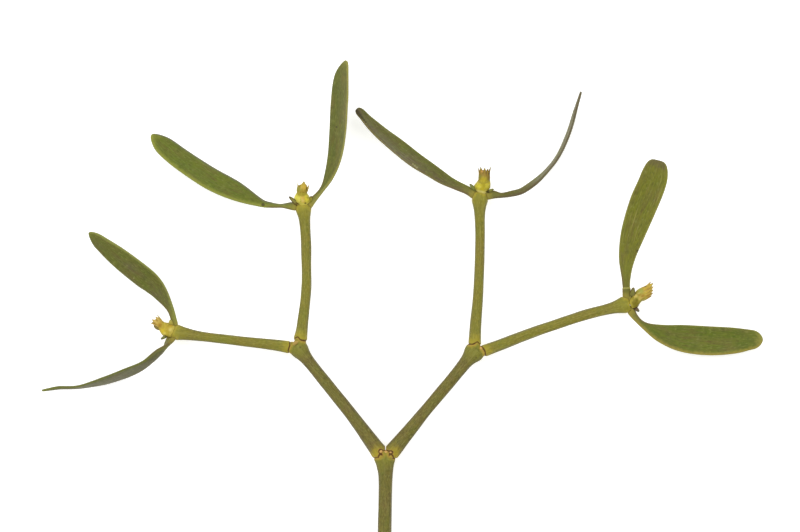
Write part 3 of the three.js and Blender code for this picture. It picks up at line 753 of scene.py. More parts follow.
# A head's outline is measured from its origin along its heading, in mm: rows of distance along,
# half width to the left and half width to the right, first for the cup and then for the crown.
# A tooth is its place round the crown in degrees, from the right over the top, and how far it
# reaches. The notches between teeth are pointed, or rounder with toothRoundness. A slit is its
# place, how low it goes and its half width in degrees. A spot is where it lies along and across,
# its radius, how far it fades out and its colour.
heads = {
    "left": {
        "stem": "stem_left_outer",
        "origin": (-76.5, -5.7, 6.1),
        "heading": 148,
        "cup": [
            (-0.8, 2.1, 1.9),
            (0.3, 2.85, 2.25),
            (1.3, 3.05, 2.15),
            (2.2, 2.95, 1.75),
            (3.0, 2.6, 1.3),
            (3.7, 2.2, 1.1),
            (4.3, 1.9, 1.12),
        ],
        "crown": [(4.1, 1.86, 1.1), (4.8, 1.75, 1.25), (5.6, 1.65, 1.5), (6.4, 1.68, 1.75), (7.6, 1.8, 1.95)],
        "teeth": [(14, 6.95), (56, 7.3), (102, 7.75), (160, 7.6), (222, 7.3), (290, 7.1)],
        "toothDepth": 0.9,
        "sideBud": {"along": 4.85, "across": -1.7, "high": -0.5, "size": (1.4, 0.8, 0.85)},
        "spots": [
            (2.6, -1.7, 0.1, 1.2, "#cdb524"),
            # Painted highlight: a pale spot on the lower left of the cup
            (1.6, -2.1, 0.1, 0.8, "#dccb5c"),
            (1.3, 1.5, 0.1, 0.9, "#b8932e"),
            (0.5, 0.0, 0.1, 0.9, "#cfbf66"),
            (4.9, -2.1, 0.1, 0.5, "#3c3011"),
            (4.4, -0.6, 0.1, 0.9, "#a07a24"),
        ],
    },
    "upper_left": {
        "stem": "stem_left_inner",
        "origin": (-32.8, 35.8, 7.3),
        "heading": 89,
        "cup": [
            (-0.8, 1.4, 1.5),
            (0.45, 1.7, 1.8),
            (1.2, 2.4, 2.35),
            (2.0, 3.0, 2.45),
            (2.7, 3.12, 2.25),
            (3.7, 2.72, 1.6),
            (4.6, 2.26, 1.12),
        ],
        "crown": [(4.4, 2.35, 1.3), (5.2, 2.4, 1.5), (5.8, 2.35, 1.66), (6.5, 2.15, 1.76), (8.2, 2.05, 2.0)],
        "teeth": [(6, 7.35), (86, 8.3), (170, 7.7), (232, 7.3), (300, 7.2)],
        "toothDepth": 1.15,
        "slits": [(42, 5.0, 7)],
        "spots": [
            (2.5, -2.5, 0.2, 1.1, "#ddd350"),
            (2.7, -0.35, 0.1, 0.8, "#cbab4c"),
            (1.7, -0.2, 0.1, 0.7, "#d2bc62"),
            (0.9, 0.75, 0.1, 0.45, "#5a4a12"),
            # Painted shade: a darker olive patch on the crown's left side
            (5.6, -1.9, 0.2, 1.1, "#8f8c3e"),
            (6.3, 0.2, 0.1, 1.2, "#c9a83c"),
            (7.3, -1.9, 0.2, 0.8, "#8f8c4e"),
            (7.1, 2.0, 0.2, 0.7, "#8f8a48"),
        ],
    },
    "upper_right": {
        "stem": "stem_right_inner",
        "origin": (26.6, 39.6, 6.7),
        "heading": 88,
        "cup": [
            (0.1, 1.5, 1.35),
            (0.6, 1.8, 1.6),
            (1.1, 2.1, 1.9),
            (1.8, 2.6, 2.35),
            (2.5, 2.9, 2.72),
            (3.3, 2.55, 2.75),
            (4.2, 1.85, 2.66),
            (4.9, 1.55, 2.6),
        ],
        "crown": [(4.7, 1.52, 2.58), (5.6, 1.45, 2.6), (6.6, 1.4, 2.5), (7.6, 1.45, 2.5), (9.3, 1.75, 2.7)],
        "teeth": [(20, 9.4), (55, 8.9), (86, 9.2), (126, 9.35), (172, 9.0), (235, 8.7), (300, 8.6)],
        "toothDepth": 1.15,
        "slits": [(32, 6.8, 6)],
        "spots": [
            # Painted shade: a dark dot standing in for a small hole in the cup
            (1.0, 1.5, 0.12, 0.35, "#32250c"),
            (5.6, 2.3, 0.2, 1.1, "#7a662a"),
            (4.9, 0.3, 0.1, 1.7, "#b3a326"),
            (6.0, -1.1, 0.1, 1.0, "#7c7a30"),
            (2.6, -1.4, 0.1, 1.2, "#c9bf30"),
            (2.6, 1.5, 0.1, 1.1, "#c2b634"),
            (3.0, 0.3, 0.1, 1.0, "#a3951f"),
            (7.0, 2.2, 0.12, 0.35, "#33270f"),
            (7.6, -0.3, 0.1, 0.5, "#c89a50"),
        ],
    },
    "right": {
        "stem": "stem_right_outer",
        "origin": (76.3, 3.4, 7.1),
        "heading": 35,
        "cup": [
            (-0.7, 1.5, 1.9),
            (0.2, 1.75, 2.1),
            (1.0, 1.85, 2.2),
            (1.7, 2.05, 1.95),
            (2.5, 2.3, 1.6),
            (3.3, 2.5, 1.5),
        ],
        "crown": [
            (3.1, 2.46, 1.48),
            (4.0, 2.6, 1.76),
            (5.0, 2.6, 1.92),
            (6.2, 2.4, 1.95),
            (7.2, 2.2, 1.88),
            (8.2, 2.2, 1.7),
            (9.6, 2.35, 1.5),
        ],
        "teeth": [
            (10, 7.0),
            (42, 7.9),
            (68, 8.6),
            (92, 9.3),
            (120, 9.75),
            (170, 9.5),
            (232, 8.8),
            (300, 7.8),
        ],
        "toothDepth": 0.8,
        "toothRoundness": 0.8,
        "spots": [
            (4.9, -1.8, 0.2, 1.3, "#9aa048"),
            (7.0, -2.1, 0.12, 0.35, "#40300f"),
            (2.6, -1.3, 0.1, 0.9, "#d0b860"),
            (3.2, 0.2, 0.1, 0.9, "#d0b55c"),
            (1.4, 0.9, 0.3, 1.2, "#7a6f14"),
            (1.8, -0.1, 0.2, 0.8, "#776c14"),
        ],
    },
}

cupDetail = {
    "depthShare": 0.88,  # how deep the head is, as a share of its width
    "rings": 54,
    "sides": 90,
    "valleyDepth": 0.2,  # mm, between the flower's foot and the lobe on each side
    "valleys": (0.34, -0.34),  # where they run, as the cosine of their place round the cup
    "valleyWidth": 0.14,
    "lobeStep": 0.16,  # mm, how far the lobes stand out from the neck
    "lobeShort": 0.5,  # mm that a lobe ends before the crown
    "lobeSlant": 1.2,  # mm that it ends earlier on its flanks
    "lobeSoftness": (-0.2, 0.25),  # mm over which it ends
    "pebbleHeight": 0.035,
    "pebbleSize": 1.5,
    "closing": ((0.03, 0.93), (0.06, 0.78), (0.07, 0.5)),  # in the crown's foot: mm up and share of radius
}

crownDetail = {
    "rings": 34,
    "innerRings": 14,
    "sides": 180,
    "inset": 0.985,  # share of the outline's half width, so that the foot sits inside the neck
    "rimThickness": 0.1,
    "wallThickness": 0.42,
    "wallReach": 1.3,  # mm below the rim where the wall has its full thickness
    "floorHeight": 0.5,  # share of the lowest notch's height
    "keelHeight": 0.07,
    "keelPlace": 0.6,  # mm below the tips
    "keelLength": 1.3,
    "keelWidth": (0.25, 0.6),  # radians from the seam over which it rises
    "seamDepth": 0.085,  # less than the rim's thickness, so that the rim stays open
    "seamWidth": 0.13,
    "seamStart": (0.35, 0.8),  # shares of the height over which the seams grow in
}


# Axis and side of a head, and a function that gives points in its own directions
def headFrame(head):
    heading = math.radians(head["heading"])
    axis = np.array([math.cos(heading), math.sin(heading), 0])
    side, normal = sideAndNormal(axis)
    origin = np.asarray(head["origin"], float)

    def at(along, across=0.0, high=0.0):
        along, across, high = np.broadcast_arrays(along, across, high)
        return origin + along[..., None] * axis + across[..., None] * side + high[..., None] * normal

    return axis, side, at


# Middle and half width of a head's outline at distances along it
def outlineAt(rows, along):
    dense, _ = smoothLine(rows, np.linspace(0, 1, 240))
    left = np.interp(along, dense[:, 0], dense[:, 1])
    right = np.interp(along, dense[:, 0], dense[:, 2])
    return (right - left) / 2, (left + right) / 2


def cupShape(place, head):
    detail = cupDetail
    axis, _, at = headFrame(head)
    rows = head["cup"]
    start, end = rows[0][0], rows[-1][0]
    share = np.linspace(0, 1, detail["rings"])[:, None]
    along = start + (end - start) * share
    middle, half = outlineAt(rows, along)
    angles = np.linspace(0, 2 * math.pi, detail["sides"], endpoint=False)[None, :]
    cos, sin = np.cos(angles), np.sin(angles)
    valleys = sum(hump(cos, valley, detail["valleyWidth"]) for valley in detail["valleys"])
    valleys = valleys * smoothStep(0.2, 0.6, share) * smoothStep(-0.3, 0.4, sin)  # on the upper side only
    lobeEnd = end - detail["lobeShort"] - detail["lobeSlant"] * (1 - np.abs(cos)) ** 0.8
    beyond = smoothStep(*detail["lobeSoftness"], along - lobeEnd)
    pebble = np.stack(np.broadcast_arrays(cos * 3, sin * 3, share * 4), -1)
    rough = detail["pebbleHeight"] * wander(pebble, detail["pebbleSize"], sum(map(ord, place)))
    radius = half - detail["valleyDepth"] * valleys - detail["lobeStep"] * beyond * (1 - share) ** 0.3 + rough
    up, size = np.array(detail["closing"]).T[:, :, None]
    longer = np.concatenate([along, along[-1:] + up]) + 0 * cos
    radius = np.concatenate([radius, radius[-1:] * size])
    middle = np.concatenate([middle, np.repeat(middle[-1:], len(up), 0)])
    rings = at(longer, middle + radius * cos, detail["depthShare"] * radius * sin)
    marks = {
        "share": (longer - start) / (end - start),
        "across": (middle + radius * cos) / half.max(),
        "neck": smoothStep(*detail["lobeSoftness"], longer - lobeEnd),
        "lobeRim": hump(longer - lobeEnd, -0.2, 0.22),
    }
    parts = [loft(rings, marks)]
    if "sideBud" in head:
        bud = head["sideBud"]
        centre = at(bud["along"], bud["across"], bud["high"])
        length, width, depth = bud["size"]
        parts.append(egg(centre, axis, length, width, depth, {"bud": 1.0, "share": 0.9}))
    return joined(parts)


# The crown's edge round its axis: how high it stands, how high its teeth would stand without
# the notches, and how far round each point is from the seam between two tepals
def crownEdge(head, angles):
    teeth = sorted(head["teeth"])
    turns = np.radians([turn for turn, _ in teeth])
    turns = np.concatenate([turns[-1:] - 2 * math.pi, turns, turns[:1] + 2 * math.pi])
    reaches = np.array([reach for _, reach in teeth])
    reaches = np.concatenate([reaches[-1:], reaches, reaches[:1]])
    tooth = np.clip(np.searchsorted(turns, angles) - 1, 0, len(turns) - 2)
    width = turns[tooth + 1] - turns[tooth]
    share = (angles - turns[tooth]) / width
    tips = reaches[tooth] + (reaches[tooth + 1] - reaches[tooth]) * smoothStep(0, 1, share)
    pointed = 1 - (2 * share - 1) ** 2
    rounded = np.sin(math.pi * share) ** 2
    drop = pointed + (rounded - pointed) * head.get("toothRoundness", 0)
    edge = tips - head["toothDepth"] * drop
    for turn, bottom, halfWidth in head.get("slits", []):
        away = np.abs(np.angle(np.exp(1j * (angles - math.radians(turn)))))
        edge = np.minimum(edge, bottom + (away / math.radians(halfWidth)) ** 2)
    return edge, tips, np.abs(share - 0.5) * width


def crownShape(head):
    detail = crownDetail
    _, _, at = headFrame(head)
    rows = head["crown"]
    foot = rows[0][0]
    angles = np.linspace(0, 2 * math.pi, detail["sides"], endpoint=False)[None, :]
    cos, sin = np.cos(angles), np.sin(angles)
    edge, tips, seam = crownEdge(head, angles)
    floor = foot + detail["floorHeight"] * (edge.min() - foot)
    rise = np.linspace(0, 1, detail["rings"])[:, None] ** 0.85
    fall = np.linspace(1, 0, detail["innerRings"])[:, None]
    along = np.concatenate([foot + (edge - foot) * rise, floor + (edge - floor) * fall])
    inside = np.concatenate([np.zeros_like(rise), np.ones_like(fall)])
    below = edge - along
    thickening = smoothStep(0, detail["wallReach"], below)
    wall = detail["rimThickness"] + (detail["wallThickness"] - detail["rimThickness"]) * thickening
    grown = smoothStep(*detail["seamStart"], np.concatenate([rise, fall]))
    ridge = hump(tips - along, detail["keelPlace"], detail["keelLength"])
    keel = detail["keelHeight"] * ridge * smoothStep(*detail["keelWidth"], seam)
    dent = detail["seamDepth"] * hump(seam, 0, detail["seamWidth"]) * grown
    middle, half = outlineAt(rows, along)
    radius = half * detail["inset"] - inside * wall + (1 - inside) * (keel - dent)
    rings = at(along, middle + radius * cos, cupDetail["depthShare"] * radius * sin)
    marks = {
        "share": (along - foot) / (edge.max() - foot),
        "fromTip": np.maximum(tips - along, 0),
        "inside": inside * smoothStep(0.05, 0.5, below),
        "seam": seam * half,
        "grown": grown * (1 - inside),
        "along": along,
        "across": cos,
    }
    return loft(rings, marks)


# How far each point of a head lies, seen from above, from each of the head's spots
def markSpots(shape, head):
    axis, side, _ = headFrame(head)
    away = shape["points"] - np.asarray(head["origin"], float)
    along, across = away @ axis, away @ side
    hidden = 3 * smoothStep(0.2, 1.2, -away[:, 2])
    for index, (spotAlong, spotAcross, radius, _, _) in enumerate(head["spots"]):
        distance = np.hypot(along - spotAlong, across - spotAcross) - radius
        shape["marks"][f"spot{index}"] = np.maximum(distance, 0) + hidden


# Bract scales

scaleDetail = {
    "curl": 55,
    "arch": 0.5,
    "thickness": 0.42,
    "rings": 26,
    "columns": 15,
    "keelHeight": 0.05,
    "keelWidth": 0.2,  # share of the half width
    "rimThinning": 0.09,  # mm that its upper side drops towards the rim
}

scales = {
    "scale_left_1": {
        "node": "left",
        "root": (-76.7, -4.3, 7.4),
        "tip": (-77.0, -2.0, 7.7),
        "halfWidth": 0.8,
    },
    "scale_left_2": {
        "node": "left",
        "root": (-78.0, -7.2, 7.3),
        "tip": (-80.15, -8.5, 7.7),
        "halfWidth": 0.62,
    },
    "scale_upper_left_1": {
        "node": "upper_left",
        "root": (-34.7, 36.3, 8.0),
        "tip": (-37.5, 38.9, 8.9),
        "halfWidth": 0.8,
    },
    "scale_upper_left_2": {
        "node": "upper_left",
        "root": (-31.0, 36.9, 8.0),
        "tip": (-30.0, 39.1, 8.6),
        "halfWidth": 0.72,
    },
    "scale_upper_right_1": {
        "node": "upper_right",
        "root": (24.6, 40.8, 7.4),
        "tip": (22.5, 43.1, 8.1),
        "halfWidth": 0.7,
    },
    "scale_upper_right_2": {
        "node": "upper_right",
        "root": (28.3, 40.5, 7.5),
        "tip": (30.5, 41.4, 8.1),
        "halfWidth": 0.55,
    },
    "scale_right_1": {
        "node": "right",
        "root": (76.2, 5.0, 7.8),
        "tip": (76.9, 8.7, 8.6),
        "halfWidth": 1.1,
    },
    "scale_right_2": {
        "node": "right",
        "root": (77.2, 2.2, 7.8),
        "tip": (78.8, 0.65, 8.3),
        "halfWidth": 0.75,
    },
}


def scaleShape(scale):
    detail = scaleDetail
    root, tip = np.asarray(scale["root"], float), np.asarray(scale["tip"], float)
    middle = (root + tip) / 2 + np.array([0, 0, detail["arch"]])
    sweep = np.linspace(0, 0.5 * math.pi, detail["rings"])
    t = np.sin(sweep)[:, None]
    centres = (1 - t) ** 2 * root + 2 * t * (1 - t) * middle + t**2 * tip
    tangents = unit(2 * (1 - t) * (middle - root) + 2 * t * (tip - middle))
    halfWidths = scale["halfWidth"] * np.sqrt(np.maximum(1 - t[:, 0] ** 2, 0))
    halfWidths = np.maximum(halfWidths, leafDetail["leastWidth"])
    columns = np.sin(np.linspace(-0.5 * math.pi, 0.5 * math.pi, detail["columns"]))
    thickness = detail["thickness"] * (0.5 + 0.5 * (1 - t[:, 0] ** 3))

    def lift(across, face):
        keel = detail["keelHeight"] * hump(across, 0, detail["keelWidth"]) * face
        return keel - detail["rimThinning"] * smoothStep(0.6, 1, np.abs(across)) * (face > 0)

    flat = np.zeros(len(t))
    rings, across, face = bladeRings(
        centres, tangents, halfWidths, flat, flat + detail["curl"], thickness, columns, lift
    )
    span = np.linalg.norm(tip - root)
    marks = {
        "along": t * span,
        "fromTip": (1 - t) * span,
        "fromRim": np.minimum((1 - np.abs(across)) * halfWidths[:, None], (1 - t) * span),
        "across": across,
    }
    return loft(rings, marks)


shapes = {}
for stemName, stem in stems.items():
    shapes[stemName] = stemShape(stemName, stem)
for leafName, leaf in leaves.items():
    shapes[leafName] = leafShape(leafName, leaf)
for place, head in heads.items():
    shapes["flower_cup_" + place] = cupShape(place, head)
    shapes["flower_crown_" + place] = crownShape(head)
    for kind in ("cup", "crown"):
        markSpots(shapes[f"flower_{kind}_{place}"], head)
for scaleName, scale in scales.items():
    shapes[scaleName] = scaleShape(scale)
report(f"shapes of {len(shapes)} pieces")


# Joints: each piece knows how far its points are from what it grows from and from what lies beside it

forks = [
    {"left": "stem_left", "right": "stem_right", "point": (-5.5, -45, 4.2), "heading": 90},
    {"left": "stem_left_outer", "right": "stem_left_inner", "point": (-35.6, -10, 5.7), "heading": 131},
    {"left": "stem_right_inner", "right": "stem_right_outer", "point": (25.6, -11.2, 5.9), "heading": 50},
]

jointDetail = {
    "reach": 6.0,  # mm, the farthest that a joint's distance is measured
    "groove": 0.12,
    "grooveWidth": 0.28,
    "forkGap": 0.3,
    "onPlane": 1e-7,  # metres from the plane of a fork that count as on it
}


def leavesAt(place):
    return [name for name, leaf in leaves.items() if leaf["node"] == place]


# Names of what a piece grows from and of what lies beside it
def neighboursOf(name):
    if name in stems:
        carriers = [stems[name]["grownFrom"]] if "grownFrom" in stems[name] else []
        beside = [other for other, stem in stems.items() if stem.get("grownFrom") == name]
        for fork in forks:
            if name in (fork["left"], fork["right"]):
                beside.append(fork["right"] if name == fork["left"] else fork["left"])
        for place, head in heads.items():
            if head["stem"] == name:
                beside += ["flower_cup_" + place] + leavesAt(place)
        return carriers, beside
    if name.startswith("flower_crown_"):
        return [name.replace("crown", "cup")], []
    if name.startswith("flower_cup_"):
        place = name.removeprefix("flower_cup_")
        return [heads[place]["stem"]], leavesAt(place)
    place = (leaves.get(name) or scales.get(name))["node"]
    besideScale = leavesAt(place) if name in scales else []
    return [heads[place]["stem"]], ["flower_cup_" + place] + besideScale


def searchTree(shape):
    return BVHTree.FromPolygons(shape["points"].tolist(), shape["faces"])


def distanceTo(points, others, trees, reach):
    nearest = np.full(len(points), reach)
    for other in others:
        corners = shapes[other]["points"]
        low, high = corners.min(0) - reach, corners.max(0) + reach
        for index in np.flatnonzero(np.all((points > low) & (points < high), axis=1)):
            _, _, _, distance = trees[other].find_nearest(points[index], nearest[index])
            if distance is not None:
                nearest[index] = distance
    return nearest


def measureJoints():
    trees = {name: searchTree(shape) for name, shape in shapes.items()}
    for name, shape in shapes.items():
        carriers, beside = neighboursOf(name)
        for label, others in (("fromCarrier", carriers), ("fromBeside", beside)):
            shape["marks"][label] = distanceTo(shape["points"], others, trees, jointDetail["reach"])


measureJoints()
report("joint distances")


# Effects that several materials share


def paint(code):
    channels = [int(code[k : k + 2], 16) / 255 for k in (1, 3, 5)]
    linear = [c / 12.92 if c <= 0.04045 else ((c + 0.055) / 1.055) ** 2.4 for c in channels]
    return (*linear, 1.0)


# Gives a socket a link or a plain value
def feed(tree, socket, value):
    if isinstance(value, bpy.types.NodeSocket):
        tree.links.new(value, socket)
    else:
        socket.default_value = value


def addNode(tree, kind, inputs=None, **settings):
    made = tree.nodes.new(kind)
    for key, value in settings.items():
        setattr(made, key, value)
    for key, value in (inputs or {}).items():
        feed(tree, made.inputs[key], value)
    return made


def blendColours(tree, share, first, second):
    mix = addNode(tree, "ShaderNodeMix", {0: share, 6: first, 7: second}, data_type="RGBA")
    return mix.outputs[2]


def calculate(tree, operation, *values, clamp=False):
    made = addNode(
        tree, "ShaderNodeMath", dict(enumerate(values)), operation=operation, use_clamp=clamp
    )
    return made.outputs[0]


def remap(tree, value, low, high, outLow=0.0, outHigh=1.0, smooth=True):
    made = addNode(
        tree,
        "ShaderNodeMapRange",
        {"Value": value, "From Min": low, "From Max": high, "To Min": outLow, "To Max": outHigh},
        interpolation_type="SMOOTHSTEP" if smooth else "LINEAR",
    )
    return made.outputs[0]


def objectPlace(tree):
    return addNode(tree, "ShaderNodeTexCoord").outputs["Object"]


# A texture's scale, which counts in metres, from a size in millimetres
def textureScale(tree, size):
    return calculate(tree, "DIVIDE", 1 / millimetre, size)


def newEffect(name, ins, outs):
    tree = bpy.data.node_groups.new(name, "ShaderNodeTree")
    for label, value in ins.items():
        kind = "NodeSocketColor" if isinstance(value, tuple) else "NodeSocketFloat"
        socket = tree.interface.new_socket(label, in_out="INPUT", socket_type=kind)
        socket.default_value = value
    for label, kind in outs:
        tree.interface.new_socket(label, in_out="OUTPUT", socket_type="NodeSocket" + kind)
    return tree, tree.nodes.new("NodeGroupInput").outputs, tree.nodes.new("NodeGroupOutput").inputs


black = (0, 0, 0, 1)
white = (1, 1, 1, 1)


# Cloudy change from one colour to another, patches of the given size
def makeTissueMottle():
    tree, given, result = newEffect(
        "tissueMottle",
        {"Colour": black, "Patch Colour": white, "Patch Size mm": 3.0, "Amount": 0.5, "Shift": 0.0},
        [("Colour", "Color"), ("Mask", "Float")],
    )
    noise = addNode(
        tree,
        "ShaderNodeTexNoise",
        {
            "Vector": objectPlace(tree),
            "W": given["Shift"],
            "Scale": textureScale(tree, given["Patch Size mm"]),
            "Detail": 4.0,
            "Roughness": 0.6,
        },
        noise_dimensions="4D",
    )
    mask = remap(tree, noise.outputs["Fac"], 0.36, 0.66)
    share = calculate(tree, "MULTIPLY", mask, given["Amount"])
    tree.links.new(blendColours(tree, share, given["Colour"], given["Patch Colour"]), result["Colour"])
    tree.links.new(mask, result["Mask"])
    return tree


# Fine streaks that run along the growth, read from the marks across and along
def makeGrowthStreaks():
    tree, given, result = newEffect(
        "growthStreaks",
        {"Across": 0.0, "Along mm": 0.0, "Streaks": 10.0, "Length mm": 12.0, "Sharpness": 0.5, "Shift": 0.0},
        [("Mask", "Float"), ("Height", "Float")],
    )
    x = calculate(tree, "MULTIPLY", given["Across"], given["Streaks"])
    y = calculate(tree, "DIVIDE", given["Along mm"], given["Length mm"])
    where = addNode(tree, "ShaderNodeCombineXYZ", {"X": x, "Y": y, "Z": given["Shift"]}).outputs[0]
    noise = addNode(
        tree, "ShaderNodeTexNoise", {"Vector": where, "Scale": 1.0, "Detail": 3.0, "Roughness": 0.55}
    )
    low = calculate(tree, "MULTIPLY_ADD", given["Sharpness"], 0.2, 0.35)
    high = calculate(tree, "MULTIPLY_ADD", given["Sharpness"], -0.05, 0.75)
    tree.links.new(remap(tree, noise.outputs["Fac"], low, high), result["Mask"])
    tree.links.new(noise.outputs["Fac"], result["Height"])
    return tree


# A tint that is full up to one distance and gone at another, with an uneven edge
def makeTintNear():
    tree, given, result = newEffect(
        "tintNear",
        {
            "Colour": black,
            "Tint": white,
            "Distance mm": 1.0,
            "Full To mm": 0.1,
            "Gone At mm": 1.0,
            "Strength": 1.0,
            "Unevenness mm": 0.0,
        },
        [("Colour", "Color"), ("Mask", "Float")],
    )
    noise = addNode(tree, "ShaderNodeTexNoise", {"Vector": objectPlace(tree), "Scale": 900.0, "Detail": 3.0})
    centred = calculate(tree, "SUBTRACT", noise.outputs["Fac"], 0.5)
    shift = calculate(tree, "MULTIPLY", centred, calculate(tree, "MULTIPLY", given["Unevenness mm"], 2.5))
    distance = calculate(tree, "ADD", given["Distance mm"], shift)
    near = remap(tree, distance, given["Full To mm"], given["Gone At mm"], 1.0, 0.0)
    mask = calculate(tree, "MULTIPLY", near, given["Strength"], clamp=True)
    tree.links.new(blendColours(tree, mask, given["Colour"], given["Tint"]), result["Colour"])
    tree.links.new(mask, result["Mask"])
    return tree


# Sparse small dots, such as pores and specks of dirt
def makeFineSpecks():
    tree, given, result = newEffect(
        "fineSpecks",
        {"Colour": black, "Speck Colour": white, "Spacing mm": 1.0, "Size": 0.15, "Strength": 0.5},
        [("Colour", "Color"), ("Mask", "Float")],
    )
    scale = textureScale(tree, given["Spacing mm"])
    cells = addNode(
        tree, "ShaderNodeTexVoronoi", {"Vector": objectPlace(tree), "Scale": scale, "Randomness": 1.0}
    )
    dot = remap(tree, cells.outputs["Distance"], 0.0, given["Size"], 1.0, 0.0)
    mask = calculate(tree, "MULTIPLY", dot, given["Strength"])
    tree.links.new(blendColours(tree, mask, given["Colour"], given["Speck Colour"]), result["Colour"])
    tree.links.new(mask, result["Mask"])
    return tree


# Height of the skin's fine grain and broad dents over what other marks raise
def makeSkinGrain():
    tree, given, result = newEffect(
        "skinGrain",
        {"Grain Size mm": 0.3, "Grain": 0.5, "Dent Size mm": 2.0, "Dents": 0.5, "Raised": 0.0},
        [("Height", "Float")],
    )
    where = objectPlace(tree)
    total = given["Raised"]
    for size, amount in (("Grain Size mm", "Grain"), ("Dent Size mm", "Dents")):
        scale = textureScale(tree, given[size])
        noise = addNode(tree, "ShaderNodeTexNoise", {"Vector": where, "Scale": scale, "Detail": 2.0})
        total = calculate(tree, "MULTIPLY_ADD", noise.outputs["Fac"], given[amount], total)
    tree.links.new(total, result["Height"])
    return tree


tissueMottle = makeTissueMottle()
growthStreaks = makeGrowthStreaks()
tintNear = makeTintNear()
fineSpecks = makeFineSpecks()
skinGrain = makeSkinGrain()


def mark(tree, name):
    return addNode(tree, "ShaderNodeAttribute", attribute_name=name, attribute_type="GEOMETRY").outputs["Fac"]


def useEffect(tree, effect, inputs):
    return addNode(tree, "ShaderNodeGroup", inputs, node_tree=effect).outputs


def mottled(tree, colour, patch, size, amount, shift=0.0):
    given = {
        "Colour": colour,
        "Patch Colour": paint(patch),
        "Patch Size mm": size,
        "Amount": amount,
        "Shift": shift,
    }
    return useEffect(tree, tissueMottle, given)["Colour"]


def streaked(tree, across, along, count, length, sharpness, shift=0.0):
    given = {
        "Across": across,
        "Along mm": along,
        "Streaks": count,
        "Length mm": length,
        "Sharpness": sharpness,
        "Shift": shift,
    }
    return useEffect(tree, growthStreaks, given)


# Lays tints over a colour. Each is its colour, the mark it is near to, how far it is full and where
# it is gone, its strength and how uneven its edge is.
def tinted(tree, colour, tints):
    for tint, where, full, gone, strength, uneven in tints:
        given = {
            "Colour": colour,
            "Tint": paint(tint),
            "Distance mm": mark(tree, where),
            "Full To mm": full,
            "Gone At mm": gone,
            "Strength": strength,
            "Unevenness mm": uneven,
        }
        colour = useEffect(tree, tintNear, given)["Colour"]
    return colour


def specked(tree, colour, speck, spacing, size, strength):
    given = {
        "Colour": colour,
        "Speck Colour": paint(speck),
        "Spacing mm": spacing,
        "Size": size,
        "Strength": strength,
    }
    return useEffect(tree, fineSpecks, given)["Colour"]


# Materials

# Each surface's roughness and specular, its grain and dents (size in mm and height), and the
# strength and depth in mm of its bump
finishes = {
    "stem": {"shine": (0.55, 0.15), "grain": (0.35, 0.35), "dents": (1.6, 0.6), "bump": (0.5, 0.12)},
    "young_stem": {"shine": (0.5, 0.15), "grain": (0.35, 0.35), "dents": (1.6, 0.6), "bump": (0.5, 0.12)},
    "leaf": {"shine": (0.5, 0.15), "grain": (0.3, 0.4), "dents": (2.4, 0.7), "bump": (0.5, 0.12)},
    "flower_cup": {"shine": (0.48, 0.2), "grain": (0.25, 0.4), "dents": (1.1, 0.8), "bump": (0.45, 0.12)},
    "flower_crown": {"shine": (0.52, 0.18), "grain": (0.22, 0.5), "dents": (0.9, 0.7), "bump": (0.45, 0.1)},
    "bract_scale": {"shine": (0.6, 0.18), "grain": (0.2, 0.4), "dents": (0.8, 0.4), "bump": (0.5, 0.08)},
}


def pieceName(node):
    words = node.split("_")
    return words[0] + "".join(word.capitalize() for word in words[1:])


def newSkin(name, finish):
    material = bpy.data.materials.new(name)
    material.use_nodes = True
    tree = material.node_tree
    shader = tree.nodes["Principled BSDF"]
    for label, value in zip(("Roughness", "Specular IOR Level"), finish["shine"]):
        shader.inputs[label].default_value = value
    return material, tree, shader


# Gives the shader its colour, and the finish's grain and dents as bump over what is raised
def finishSkin(tree, shader, colour, finish, raised=0.0):
    tree.links.new(colour, shader.inputs["Base Color"])
    given = {"Raised": raised}
    given["Grain Size mm"], given["Grain"] = finish["grain"]
    given["Dent Size mm"], given["Dents"] = finish["dents"]
    height = useEffect(tree, skinGrain, given)["Height"]
    strength, depth = finish["bump"]
    bump = addNode(
        tree, "ShaderNodeBump", {"Height": height, "Strength": strength, "Distance": depth * millimetre}
    )
    tree.links.new(bump.outputs[0], shader.inputs["Normal"])


# How far each point lies, seen from above, from the nearest of some spots
def fromSpots(points, spots):
    nearest = np.full(len(points), 5.0)  # mm, beyond every tint
    for x, y, radius in spots:
        nearest = np.minimum(nearest, np.hypot(points[:, 0] - x, points[:, 1] - y) - radius)
    return nearest


# Dark spots on the bark: x, y and radius in mm
barkSpots = {"stem_left": [(-33.8, -11.2, 0.12)], "stem_right": [(24.6, -14.6, 0.1)]}

